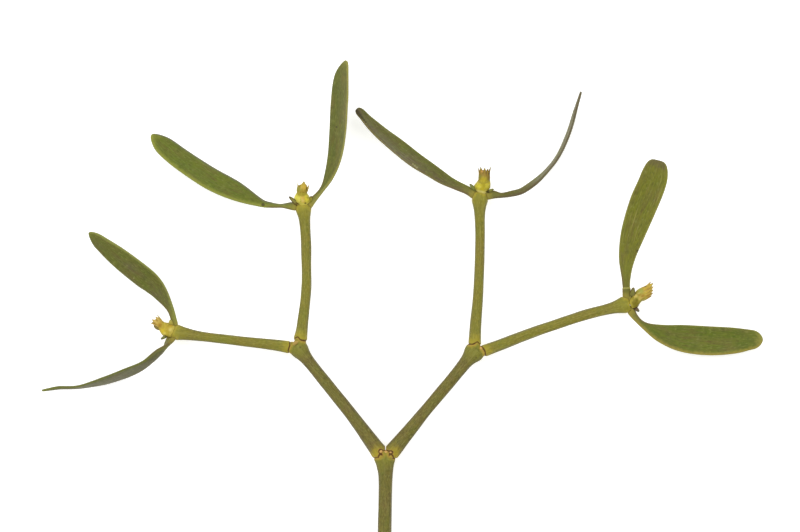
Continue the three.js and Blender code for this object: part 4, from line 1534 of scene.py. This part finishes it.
# Stem looks. Amounts are how strong each patch and streak is, streaks how many run across, and
# besideLine the colour and strength of the line next to what lies beside.
stemLooks = {
    "stem": {
        "bark": "#68632a",
        "patch": "#656b2a",
        "cast": "#6e5936",
        "mottle": "#7e7430",
        "fleckDark": "#4a481c",
        "fleckPale": "#918f50",
        "darkStreak": "#55501f",
        "paleStreak": "#8f8850",
        # edge: painted shade, a darker grey brown on the stem's sides where they turn away from the light
        # above
        "edge": "#5f5536",
        "amounts": {"patch": 0.8, "cast": 0.7, "mottle": 0.6, "fleckDark": 0.85, "fleckPale": 0.7,
                    "darkStreak": 0.65, "paleStreak": 0.5, "edge": 0.65},
        "streaks": 7.0,
        "nodeTint": "#8b8c30",
        "jointTint": "#b3a02c",
        "jointRim": "#b58f44",
        "besideLine": ("#4e2f17", 0.9),
        "scar": "#c99f5c",
        "speck": "#4e4520",
        "cut": {"wood": "#c9c38a", "ring": "#a8aa62", "pith": "#8f8650"},
    },
    "young_stem": {
        "bark": "#777329",
        "patch": "#757b27",
        "cast": "#826d34",
        "mottle": "#898128",
        "fleckDark": "#62622a",
        "fleckPale": "#a19c52",
        "darkStreak": "#6d6a25",
        "paleStreak": "#9c954c",
        # edge: painted shade, a darker grey brown on the stem's sides where they turn away from the light
        # above
        "edge": "#6f6a40",
        "amounts": {"patch": 0.7, "cast": 0.5, "mottle": 0.6, "fleckDark": 0.75, "fleckPale": 0.65,
                    "darkStreak": 0.6, "paleStreak": 0.55, "edge": 0.65},
        "streaks": 5.0,
        "nodeTint": "#949030",
        "jointTint": "#b4a432",
        "jointRim": "#ac9c3e",
        "besideLine": ("#75672a", 0.5),
        "scar": "#c99f5c",
        "speck": "#5a5226",
    },
}

jointLine = "#4e2f17"  # next to what a segment grows from

# Cloudy patches of the bark: which, size in mm and shift
barkPatches = (("patch", 4.0, 0.0), ("cast", 7.0, 3.0), ("mottle", 1.1, 5.0))

# Streaks of the bark: which, how many for each of the look's own streaks, length in mm and shift
barkStreaks = (
    ("fleckDark", 1.3, 1.3, 4.0),
    ("fleckPale", 1.6, 1.1, 6.0),
    ("darkStreak", 1.5, 5.0, 8.0),
    ("paleStreak", 1.0, 8.0, 0.0),
)


def stemSkin(slotName, look):
    finish = finishes[slotName]
    material, tree, shader = newSkin(pieceName(slotName) + "Bark", finish)
    amounts = look["amounts"]
    along, across, high = mark(tree, "along"), mark(tree, "across"), mark(tree, "high")
    around = calculate(tree, "MULTIPLY_ADD", high, 0.6, across)
    colour = paint(look["bark"])
    for kind, size, shift in barkPatches:
        colour = mottled(tree, colour, look[kind], size, amounts[kind], shift)
    for kind, count, length, shift in barkStreaks:
        streaks = streaked(tree, around, along, look["streaks"] * count, length, 0.7, shift)
        share = calculate(tree, "MULTIPLY", streaks["Mask"], amounts[kind])
        colour = blendColours(tree, share, colour, paint(look[kind]))
    # Painted shade: the stem's sides, away from its top and bottom, are blended towards the darker edge
    # colour
    shadedSides = remap(tree, calculate(tree, "ABSOLUTE", high), 0.3, 0.85, amounts["edge"], 0.0)
    colour = blendColours(tree, shadedSides, colour, paint(look["edge"]))
    glow = remap(tree, mark(tree, "outer"), 0.0, 1.0, 0.15, 0.8, smooth=False)
    nodeTints = (
        (look["nodeTint"], "fromEnd", 1.0, 7.0, 0.45, 1.5),
        (look["jointTint"], "fromCarrier", 0.2, 3.4, glow, 1.2),
        (look["jointTint"], "fromBeside", 0.2, 1.2, 0.4, 0.8),
        (look["jointRim"], "fromBeside", 0.2, 0.7, 0.55, 0.3),
        (look["jointRim"], "fromCarrier", 0.2, 0.6, 0.5, 0.3),
    )
    colour = tinted(tree, colour, nodeTints)
    colour = blendColours(tree, mark(tree, "scar"), colour, paint(look["scar"]))
    besideTint, besideStrength = look["besideLine"]
    darkTints = (
        (jointLine, "fromCarrier", 0.08, 0.36, 0.9, 0.14),
        (besideTint, "fromBeside", 0.08, 0.26, besideStrength, 0.14),
        (look["speck"], "darkSpot", 0.0, 0.5, 0.7, 0.0),
    )
    colour = tinted(tree, colour, darkTints)
    colour = specked(tree, colour, look["speck"], 1.3, 0.16, 0.35)
    if "cut" in look:
        radial = mark(tree, "radial")
        pith, wood, ring = (paint(look["cut"][kind]) for kind in ("pith", "wood", "ring"))
        wood = blendColours(tree, remap(tree, radial, 0.1, 0.3), pith, wood)
        wood = blendColours(tree, remap(tree, radial, 0.72, 0.92), wood, ring)
        colour = blendColours(tree, mark(tree, "cutFace"), colour, wood)
    finishSkin(tree, shader, colour, finish, streaks["Height"])
    return material


# Leaf looks. The cast is a grey brown tinge: its level, and how it grows to the right, to the tip
# and in patches. A margin is its colour, width in mm and strength. A speck is its place and radius.
leafLooks = {
    "leaf_left_upper": {
        "green": "#5f6427",
        "fresh": "#66702a",
        "patch": "#6b6a2e",
        "castColour": "#655e3e",
        "cast": {"level": 0.35, "right": -0.25, "tip": -0.5, "patches": 0.4},
        "rightMargin": ("#90934a", 0.8, 0.65),
        "leftMargin": ("#80834a", 0.5, 0.5),
        "streak": "#84824a",
        "streakAmount": 0.3,
        "baseTint": "#8a8c38",
        "tipTint": "#6f742c",
        "paleSpecks": [(-89.3, 11.8, 0.12)],
    },
    "leaf_left_lower": {
        "green": "#484a26",
        "fresh": "#505427",
        "patch": "#4b4429",
        "castColour": "#473d30",
        "cast": {"level": 0.6, "right": 0.2, "tip": -0.1, "patches": 0.4},
        "rightMargin": ("#6a663c", 0.5, 0.5),
        "leftMargin": ("#70752f", 1.1, 0.7),
        "streak": "#857d56",
        "streakAmount": 0.45,
        "baseTint": "#8f8f3c",
        "tipTint": "#8e8d40",
    },
    "leaf_upper_left_outer": {
        "green": "#5d6a22",
        "fresh": "#67761f",
        "patch": "#697026",
        "castColour": "#6f6a36",
        "cast": {"level": 0.1, "right": 0.1, "tip": 0.0, "patches": 0.3},
        # This right margin is painted shade: a dark grey band along the leaf's upper edge
        "rightMargin": ("#6d6d55", 0.9, 0.85),
        "leftMargin": ("#8f923e", 1.4, 0.75),
        "streak": "#83884a",
        "streakAmount": 0.3,
        "baseTint": "#868038",
        "tipTint": "#8f9038",
        "darkSpecks": [(-46.2, 36.2, 0.45)],
    },
    "leaf_upper_left_inner": {
        "green": "#5b6228",
        "fresh": "#6b7026",
        "patch": "#66682f",
        "castColour": "#756c34",
        "cast": {"level": 0.25, "right": 0.35, "tip": 0.0, "patches": 0.35},
        "rightMargin": ("#9b974e", 0.9, 0.7),
        "leftMargin": ("#77783a", 0.4, 0.5),
        "streak": "#82834d",
        "streakAmount": 0.25,
        "baseTint": "#8d8a40",
        "tipTint": "#85843e",
        "darkSpecks": [(-21.8, 62.0, 0.22)],
    },
    "leaf_upper_right_inner": {
        "green": "#5c6024",
        "fresh": "#687222",
        "patch": "#605c28",
        "castColour": "#62563e",
        "cast": {"level": 0.62, "right": -0.9, "tip": 0.1, "patches": 0.25},
        "rightMargin": ("#7f8240", 0.6, 0.5),
        "leftMargin": ("#807545", 0.5, 0.6),
        "streak": "#93866a",
        "streakAmount": 0.4,
        "baseTint": "#807a35",
        "tipTint": "#5c5036",
        "paleSpecks": [(3.6, 49.6, 0.2), (4.2, 49.1, 0.25), (4.9, 48.5, 0.2)],
        # Painted shade: a line of dark specks along the fold near the tip
        "darkSpecks": [
            (-15.3, 67.5, 0.5),
            (-14.7, 66.8, 0.55),
            (-14.0, 66.0, 0.5),
            (-13.3, 65.2, 0.4),
            (-12.6, 64.4, 0.3),
            (-12.0, 63.7, 0.2),
            (-11.4, 63.0, 0.1),
        ],
    },
    "leaf_upper_right_outer": {
        "green": "#626128",
        "fresh": "#6b6b29",
        "patch": "#666029",
        "castColour": "#5b503a",
        "cast": {"level": 0.4, "right": 0.5, "tip": 0.1, "patches": 0.25},
        "rightMargin": ("#5c4f3a", 0.8, 0.6),
        "leftMargin": ("#5e6230", 0.4, 0.6),
        "streak": "#86804c",
        "streakAmount": 0.3,
        "baseTint": "#7a7733",
        "tipTint": "#6e6c42",
    },
    "leaf_right_upper": {
        "green": "#6f7224",
        "fresh": "#7c7e20",
        "patch": "#777629",
        "castColour": "#6f6336",
        "cast": {"level": 0.12, "right": 0.0, "tip": 0.1, "patches": 0.3},
        "rightMargin": ("#928f40", 0.7, 0.6),
        "leftMargin": ("#85833c", 0.6, 0.5),
        "streak": "#9a9450",
        "streakAmount": 0.65,
        "baseTint": "#605c2a",
        "tipTint": "#675b40",
        "darkSpecks": [(78.3, 20.8, 0.3)],
    },
    "leaf_right_lower": {
        "green": "#5a671e",
        "fresh": "#68741c",
        "patch": "#686f24",
        "castColour": "#746a36",
        "cast": {"level": 0.15, "right": 0.05, "tip": 0.1, "patches": 0.35},
        "rightMargin": ("#988b3e", 1.2, 0.85),
        "leftMargin": ("#858238", 0.5, 0.6),
        "streak": "#8a8a4c",
        "streakAmount": 0.3,
        "baseTint": "#877c42",
        "tipTint": "#9a9446",
    },
}


leafShared = {
    "underside": "#85855a",
    "fleckDark": "#3c441a",
    "fleckPale": "#8b8e4c",
    "brownStreak": "#66552e",
    "ochre": "#978b38",  # where the petiole leaves the stem
    "jointLine": "#6a5824",
    "collarRim": "#a5a053",
    # dark specks, and painted shade in a leaf's fold
    "darkSpeck": "#3c3620",
    "paleSpeck": "#b0ab76",
    # Painted shade: a brown band along the petiole's left edge
    "petioleEdge": "#68563a",
    "brownEdgeLength": 9,  # mm from the joint that the petiole's edge is brown
    "pore": "#45451f",
}


def markLeaf(name, shape, look):
    marks = shape["marks"]
    cast = look["cast"]
    spots = np.stack([marks["across"] * 5, marks["along"] * 0.45], -1)
    patches = wander(spots, 5.0, len(name) * 7)
    share = marks["along"] / marks["along"].max() * 2 - 1
    level = cast["level"] + cast["right"] * marks["across"] + cast["tip"] * share + cast["patches"] * patches
    marks["cast"] = np.clip(level, 0, 1)
    for kind in ("darkSpeck", "paleSpeck"):
        marks[kind] = fromSpots(shape["points"], look.get(kind + "s", []))
    # Where the painted shade along the petiole's left edge lies: its first mm from the joint
    pastPetiole = (marks["along"] - leafShared["brownEdgeLength"]) * 0.25
    marks["petioleEdge"] = np.maximum(marks["fromLeftEdge"], pastPetiole)


def leafSkin(name, look):
    shared = leafShared
    finish = finishes["leaf"]
    material, tree, shader = newSkin(name, finish)
    along, across = mark(tree, "along"), mark(tree, "across")
    colour = mottled(tree, paint(look["green"]), look["patch"], 4.0, 0.8)
    cloud = useEffect(tree, tissueMottle, {"Patch Size mm": 2.2, "Amount": 1.0, "Shift": 7.0})["Mask"]
    unevenness = remap(tree, cloud, 0, 1, 0.6, 1.0, smooth=False)
    castShare = calculate(tree, "MULTIPLY", mark(tree, "cast"), unevenness)
    colour = blendColours(tree, castShare, colour, paint(look["castColour"]))
    # Colour, how many across, length in mm, sharpness, amount and shift
    for tint, count, length, sharpness, amount, shift in (
        (look["fresh"], 3.0, 4.0, 0.3, 0.6, 11.0),
        (shared["fleckDark"], 11.0, 1.6, 0.5, 0.5, 5.0),
        (shared["fleckPale"], 11.0, 1.4, 0.8, 0.5, 9.0),
        (shared["brownStreak"], 7.0, 7.0, 0.6, 0.5, 2.0),
        (look["streak"], 9.0, 16.0, 1.0, look["streakAmount"], 0.0),
    ):
        streaks = streaked(tree, across, along, count, length, sharpness, shift)
        share = calculate(tree, "MULTIPLY", streaks["Mask"], amount)
        colour = blendColours(tree, share, colour, paint(tint))
    share = calculate(tree, "MULTIPLY", mark(tree, "underside"), 0.25)
    colour = blendColours(tree, share, colour, paint(shared["underside"]))
    tints = [
        (look["baseTint"], "along", 1.0, 10.0, 0.65, 2.0),
        (look["tipTint"], "fromTip", 0.2, 3.6, 0.65, 1.8),
    ]
    # Margin tints: the rims' own colour, and on leaf_upper_left_outer's right margin painted shade
    for edge in ("right", "left"):
        tint, width, strength = look[edge + "Margin"]
        tints.append((tint, f"from{edge.capitalize()}Edge", width * 0.1, width * 1.2, strength, width * 0.4))
    tints += [
        # painted shade along the petiole's left edge
        (shared["petioleEdge"], "petioleEdge", 0.15, 0.85, 0.65, 0.2),
        (shared["ochre"], "fromCarrier", 0.3, 2.2, 0.7, 0.8),
        # dark specks, and on leaf_upper_right_inner painted shade in the fold near its tip
        (shared["darkSpeck"], "darkSpeck", 0.0, 0.25, 0.75, 0.1),
        (shared["paleSpeck"], "paleSpeck", 0.0, 0.3, 0.5, 0.1),
        (shared["collarRim"], "fromCollar", 0.1, 0.4, 0.8, 0.1),
        (shared["jointLine"], "fromCarrier", 0.05, 0.24, 0.4, 0.1),
        (shared["jointLine"], "fromBeside", 0.05, 0.22, 0.4, 0.1),
    ]
    colour = tinted(tree, colour, tints)
    colour = specked(tree, colour, shared["pore"], 1.7, 0.12, 0.4)
    finishSkin(tree, shader, colour, finish, streaks["Height"])
    tree.links.new(remap(tree, cloud, 0, 1, 0.46, 0.56, smooth=False), shader.inputs["Roughness"])
    return material


# A cup's lobes on each side, the ridge between them, the flesh next to the stem and the leaves, and
# the neck that the crown grows from
cupLooks = {
    "left": {
        "leftLobe": "#bba62c",
        "rightLobe": "#b9a530",
        "ridge": "#b89e36",
        "foot": "#c6b650",
        "neck": "#b29c34",
        "lobeRim": "#bcaa3e",
        "shade": "#94802a",
    },
    "upper_left": {
        "leftLobe": "#dad058",
        "rightLobe": "#cdbe2c",
        "ridge": "#bfa042",
        "foot": "#cfc65c",
        "neck": "#9f922e",
        "lobeRim": "#c4b840",
        "shade": "#978c28",
    },
    "upper_right": {
        "leftLobe": "#b8ab1e",
        "rightLobe": "#b8a71e",
        "ridge": "#b9a926",
        "foot": "#dacf78",
        "neck": "#978a2c",
        "lobeRim": "#b8ac30",
        "shade": "#8f8422",
    },
    "right": {
        "leftLobe": "#8d8220",
        "rightLobe": "#796f12",
        "ridge": "#7c7014",
        "foot": "#b3a53e",
        "neck": "#9a9236",
        "lobeRim": "#bba94e",
        "shade": "#766a1e",
    },
}
cupShared = {"leafLine": "#6c5a1c", "bud": "#82733c"}  # the line next to the leaves, and the side bud


# Tints round a head's spots, each fading over its own width. Most spots are the head's own colour; a few are
# painted highlight and painted shade.
def spotTints(spots):
    return [(tint, f"spot{k}", 0.0, fade, 0.85, fade * 0.3) for k, (_, _, _, fade, tint) in enumerate(spots)]


def cupSkin(name, look, spots):
    finish = finishes["flower_cup"]
    material, tree, shader = newSkin(name, finish)
    across, share, neck = mark(tree, "across"), mark(tree, "share"), mark(tree, "neck")
    lobes = remap(tree, across, -0.2, 0.2)
    colour = blendColours(tree, lobes, paint(look["leftLobe"]), paint(look["rightLobe"]))
    colour = mottled(tree, colour, look["foot"], 1.6, 0.45)
    colour = mottled(tree, colour, look["shade"], 0.9, 0.75, 5.0)
    ridge = remap(tree, calculate(tree, "ABSOLUTE", across), 0.06, 0.3, 1.0, 0.0)
    ridge = calculate(tree, "MULTIPLY", ridge, remap(tree, share, 0.1, 0.4, 0.0, 0.8))
    colour = blendColours(tree, ridge, colour, paint(look["ridge"]))
    colour = blendColours(tree, neck, colour, paint(look["neck"]))
    rim = calculate(tree, "MULTIPLY", mark(tree, "lobeRim"), 0.7)
    colour = blendColours(tree, rim, colour, paint(look["lobeRim"]))
    tints = [
        (look["foot"], "fromCarrier", 0.3, 1.0, 0.85, 0.2),
        (look["foot"], "fromBeside", 0.25, 0.7, 0.7, 0.2),
        (cupShared["leafLine"], "fromBeside", 0.04, 0.18, 0.5, 0.2),
    ]
    colour = tinted(tree, colour, tints + spotTints(spots))
    colour = blendColours(tree, mark(tree, "bud"), colour, paint(cupShared["bud"]))
    finishSkin(tree, shader, colour, finish)
    return material


# A crown's neck, its tepals and their patches, the seams between them and the withered tips
crownLooks = {
    "left": {
        "neck": "#b29c34",
        "tepal": "#ccb058",
        "patch": "#bb943c",
        "pale": "#decb84",
        "seam": "#86692a",
        "tip": "#8c8148",
    },
    "upper_left": {
        "neck": "#9f922e",
        "tepal": "#b5a03c",
        "patch": "#a3842e",
        "pale": "#cdbb62",
        "seam": "#776424",
        "tip": "#8a8650",
    },
    "upper_right": {
        "neck": "#978a2c",
        "tepal": "#95802e",
        "patch": "#8c692c",
        "pale": "#b7a25e",
        "seam": "#644e20",
        "tip": "#848a52",
    },
    "right": {
        "neck": "#a09638",
        "tepal": "#c2a83e",
        "patch": "#a2782c",
        "pale": "#dac878",
        "seam": "#8a702e",
        "tip": "#877b58",
    },
}
crownInside = "#654620"  # the hollow and its floor


def crownSkin(name, look, spots):
    finish = finishes["flower_crown"]
    material, tree, shader = newSkin(name, finish)
    share = remap(tree, mark(tree, "share"), 0.1, 0.55)
    colour = blendColours(tree, share, paint(look["neck"]), paint(look["tepal"]))
    colour = mottled(tree, colour, look["patch"], 1.1, 0.75)
    stripes = streaked(tree, mark(tree, "across"), mark(tree, "along"), 5.0, 2.4, 0.6)["Mask"]
    colour = blendColours(tree, calculate(tree, "MULTIPLY", stripes, 0.6), colour, paint(look["pale"]))
    seamStrength = calculate(tree, "MULTIPLY", mark(tree, "grown"), 0.7)
    tints = [
        (look["seam"], "seam", 0.04, 0.4, seamStrength, 0.12),
        (look["tip"], "fromTip", 0.15, 0.9, 0.85, 0.2),
    ]
    colour = tinted(tree, colour, tints + spotTints(spots))
    colour = blendColours(tree, mark(tree, "inside"), colour, paint(crownInside))
    finishSkin(tree, shader, colour, finish)
    return material


# Root, inside, rim and tip colour of each scale
scaleLooks = {
    "scale_left_1": {"root": "#8f8238", "inside": "#a89a3a", "rim": "#a39440", "tip": "#a09c50"},
    "scale_left_2": {"root": "#3a2f14", "inside": "#7d8238", "rim": "#5f593a", "tip": "#504b3c"},
    "scale_upper_left_1": {"root": "#6d5a22", "inside": "#85803c", "rim": "#54421f", "tip": "#5c4f3c"},
    "scale_upper_left_2": {"root": "#8d872b", "inside": "#8d872b", "rim": "#958e36", "tip": "#5e4c28"},
    "scale_upper_right_1": {"root": "#6a6a2c", "inside": "#7b8038", "rim": "#666a34", "tip": "#636a36"},
    "scale_upper_right_2": {"root": "#33270f", "inside": "#8a8838", "rim": "#64622e", "tip": "#6e6e36"},
    "scale_right_1": {"root": "#47361a", "inside": "#7b7834", "rim": "#5f4c26", "tip": "#6a6040"},
    "scale_right_2": {"root": "#35230f", "inside": "#6b5238", "rim": "#54452f", "tip": "#55634a"},
}


def scaleSkin(name, look):
    finish = finishes["bract_scale"]
    material, tree, shader = newSkin(name, finish)
    colour = mottled(tree, paint(look["inside"]), look["tip"], 0.9, 0.4)
    tints = (
        (look["rim"], "fromRim", 0.06, 0.26, 0.85, 0.15),
        (look["tip"], "fromTip", 0.2, 0.9, 0.85, 0.15),
        (look["root"], "along", 0.5, 1.2, 0.85, 0.15),
    )
    colour = tinted(tree, colour, tints)
    streaks = streaked(tree, mark(tree, "across"), mark(tree, "along"), 6.0, 2.5, 0.7)
    finishSkin(tree, shader, colour, finish, streaks["Height"])
    return material


# Pieces


# Draws the surface in a little where the piece meets another, so that the joint is a real groove
def pressGroove(mesh, shape):
    detail = jointDetail
    count = len(mesh.vertices)
    normals = np.empty(count * 3, np.float32)
    mesh.vertices.foreach_get("normal", normals)
    near = np.minimum(shape["marks"]["fromCarrier"], shape["marks"]["fromBeside"])
    depth = detail["groove"] * np.exp(-((near / detail["grooveWidth"]) ** 2)) * millimetre
    places = np.empty(count * 3, np.float32)
    mesh.vertices.foreach_get("co", places)
    mesh.vertices.foreach_set("co", places - normals * np.repeat(depth, 3))


# Cuts one segment of a fork along the plane that parts it from the other
def cutAtFork(mesh, fork, isLeft):
    across = math.radians(fork["heading"] - 90)
    right = Vector((math.cos(across), math.sin(across), 0))
    sense = -1 if isLeft else 1
    spot = (Vector(fork["point"]) + right * sense * jointDetail["forkGap"] / 2) * millimetre
    shell = bmesh.new()
    shell.from_mesh(mesh)
    everything = shell.verts[:] + shell.edges[:] + shell.faces[:]
    cut = bmesh.ops.bisect_plane(
        shell,
        geom=everything,
        plane_co=spot,
        plane_no=right * -sense,
        clear_outer=True,
        dist=jointDetail["onPlane"],
    )
    rim = [part for part in cut["geom_cut"] if isinstance(part, bmesh.types.BMEdge)]
    if rim:
        bmesh.ops.holes_fill(shell, edges=rim)
    shell.to_mesh(mesh)
    shell.free()


def makePiece(node, material):
    shape = shapes[node]
    name = pieceName(node)
    mesh = bpy.data.meshes.new(name)
    mesh.from_pydata((shape["points"] * millimetre).tolist(), [], shape["faces"])
    mesh.shade_smooth()
    for label, values in shape["marks"].items():
        layer = mesh.attributes.new(label, "FLOAT", "POINT")
        layer.data.foreach_set("value", np.ascontiguousarray(values, dtype=np.float32))
    pressGroove(mesh, shape)
    for fork in forks:
        if node in (fork["left"], fork["right"]):
            cutAtFork(mesh, fork, node == fork["left"])
    mesh.materials.append(material)
    piece = bpy.data.objects.new(name, mesh)
    bpy.context.scene.collection.objects.link(piece)
    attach(piece, "root")
    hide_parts(node)


stemSkins = {slotName: stemSkin(slotName, look) for slotName, look in stemLooks.items()}
for stemName, stem in stems.items():
    shape = shapes[stemName]
    shape["marks"]["darkSpot"] = fromSpots(shape["points"], barkSpots.get(stemName, []))
    makePiece(stemName, stemSkins[stem["skin"]])
report("stems")

for leafName, look in leafLooks.items():
    markLeaf(leafName, shapes[leafName], look)
    makePiece(leafName, leafSkin(pieceName(leafName) + "Skin", look))
report("leaves")

for place, head in heads.items():
    cup, crown = "flower_cup_" + place, "flower_crown_" + place
    makePiece(cup, cupSkin(pieceName(cup) + "Flesh", cupLooks[place], head["spots"]))
    makePiece(crown, crownSkin(pieceName(crown) + "Tepals", crownLooks[place], head["spots"]))
for scaleName, look in scaleLooks.items():
    makePiece(scaleName, scaleSkin(pieceName(scaleName) + "Husk", look))
report("flower heads and scales")


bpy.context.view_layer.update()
report("sizes written")
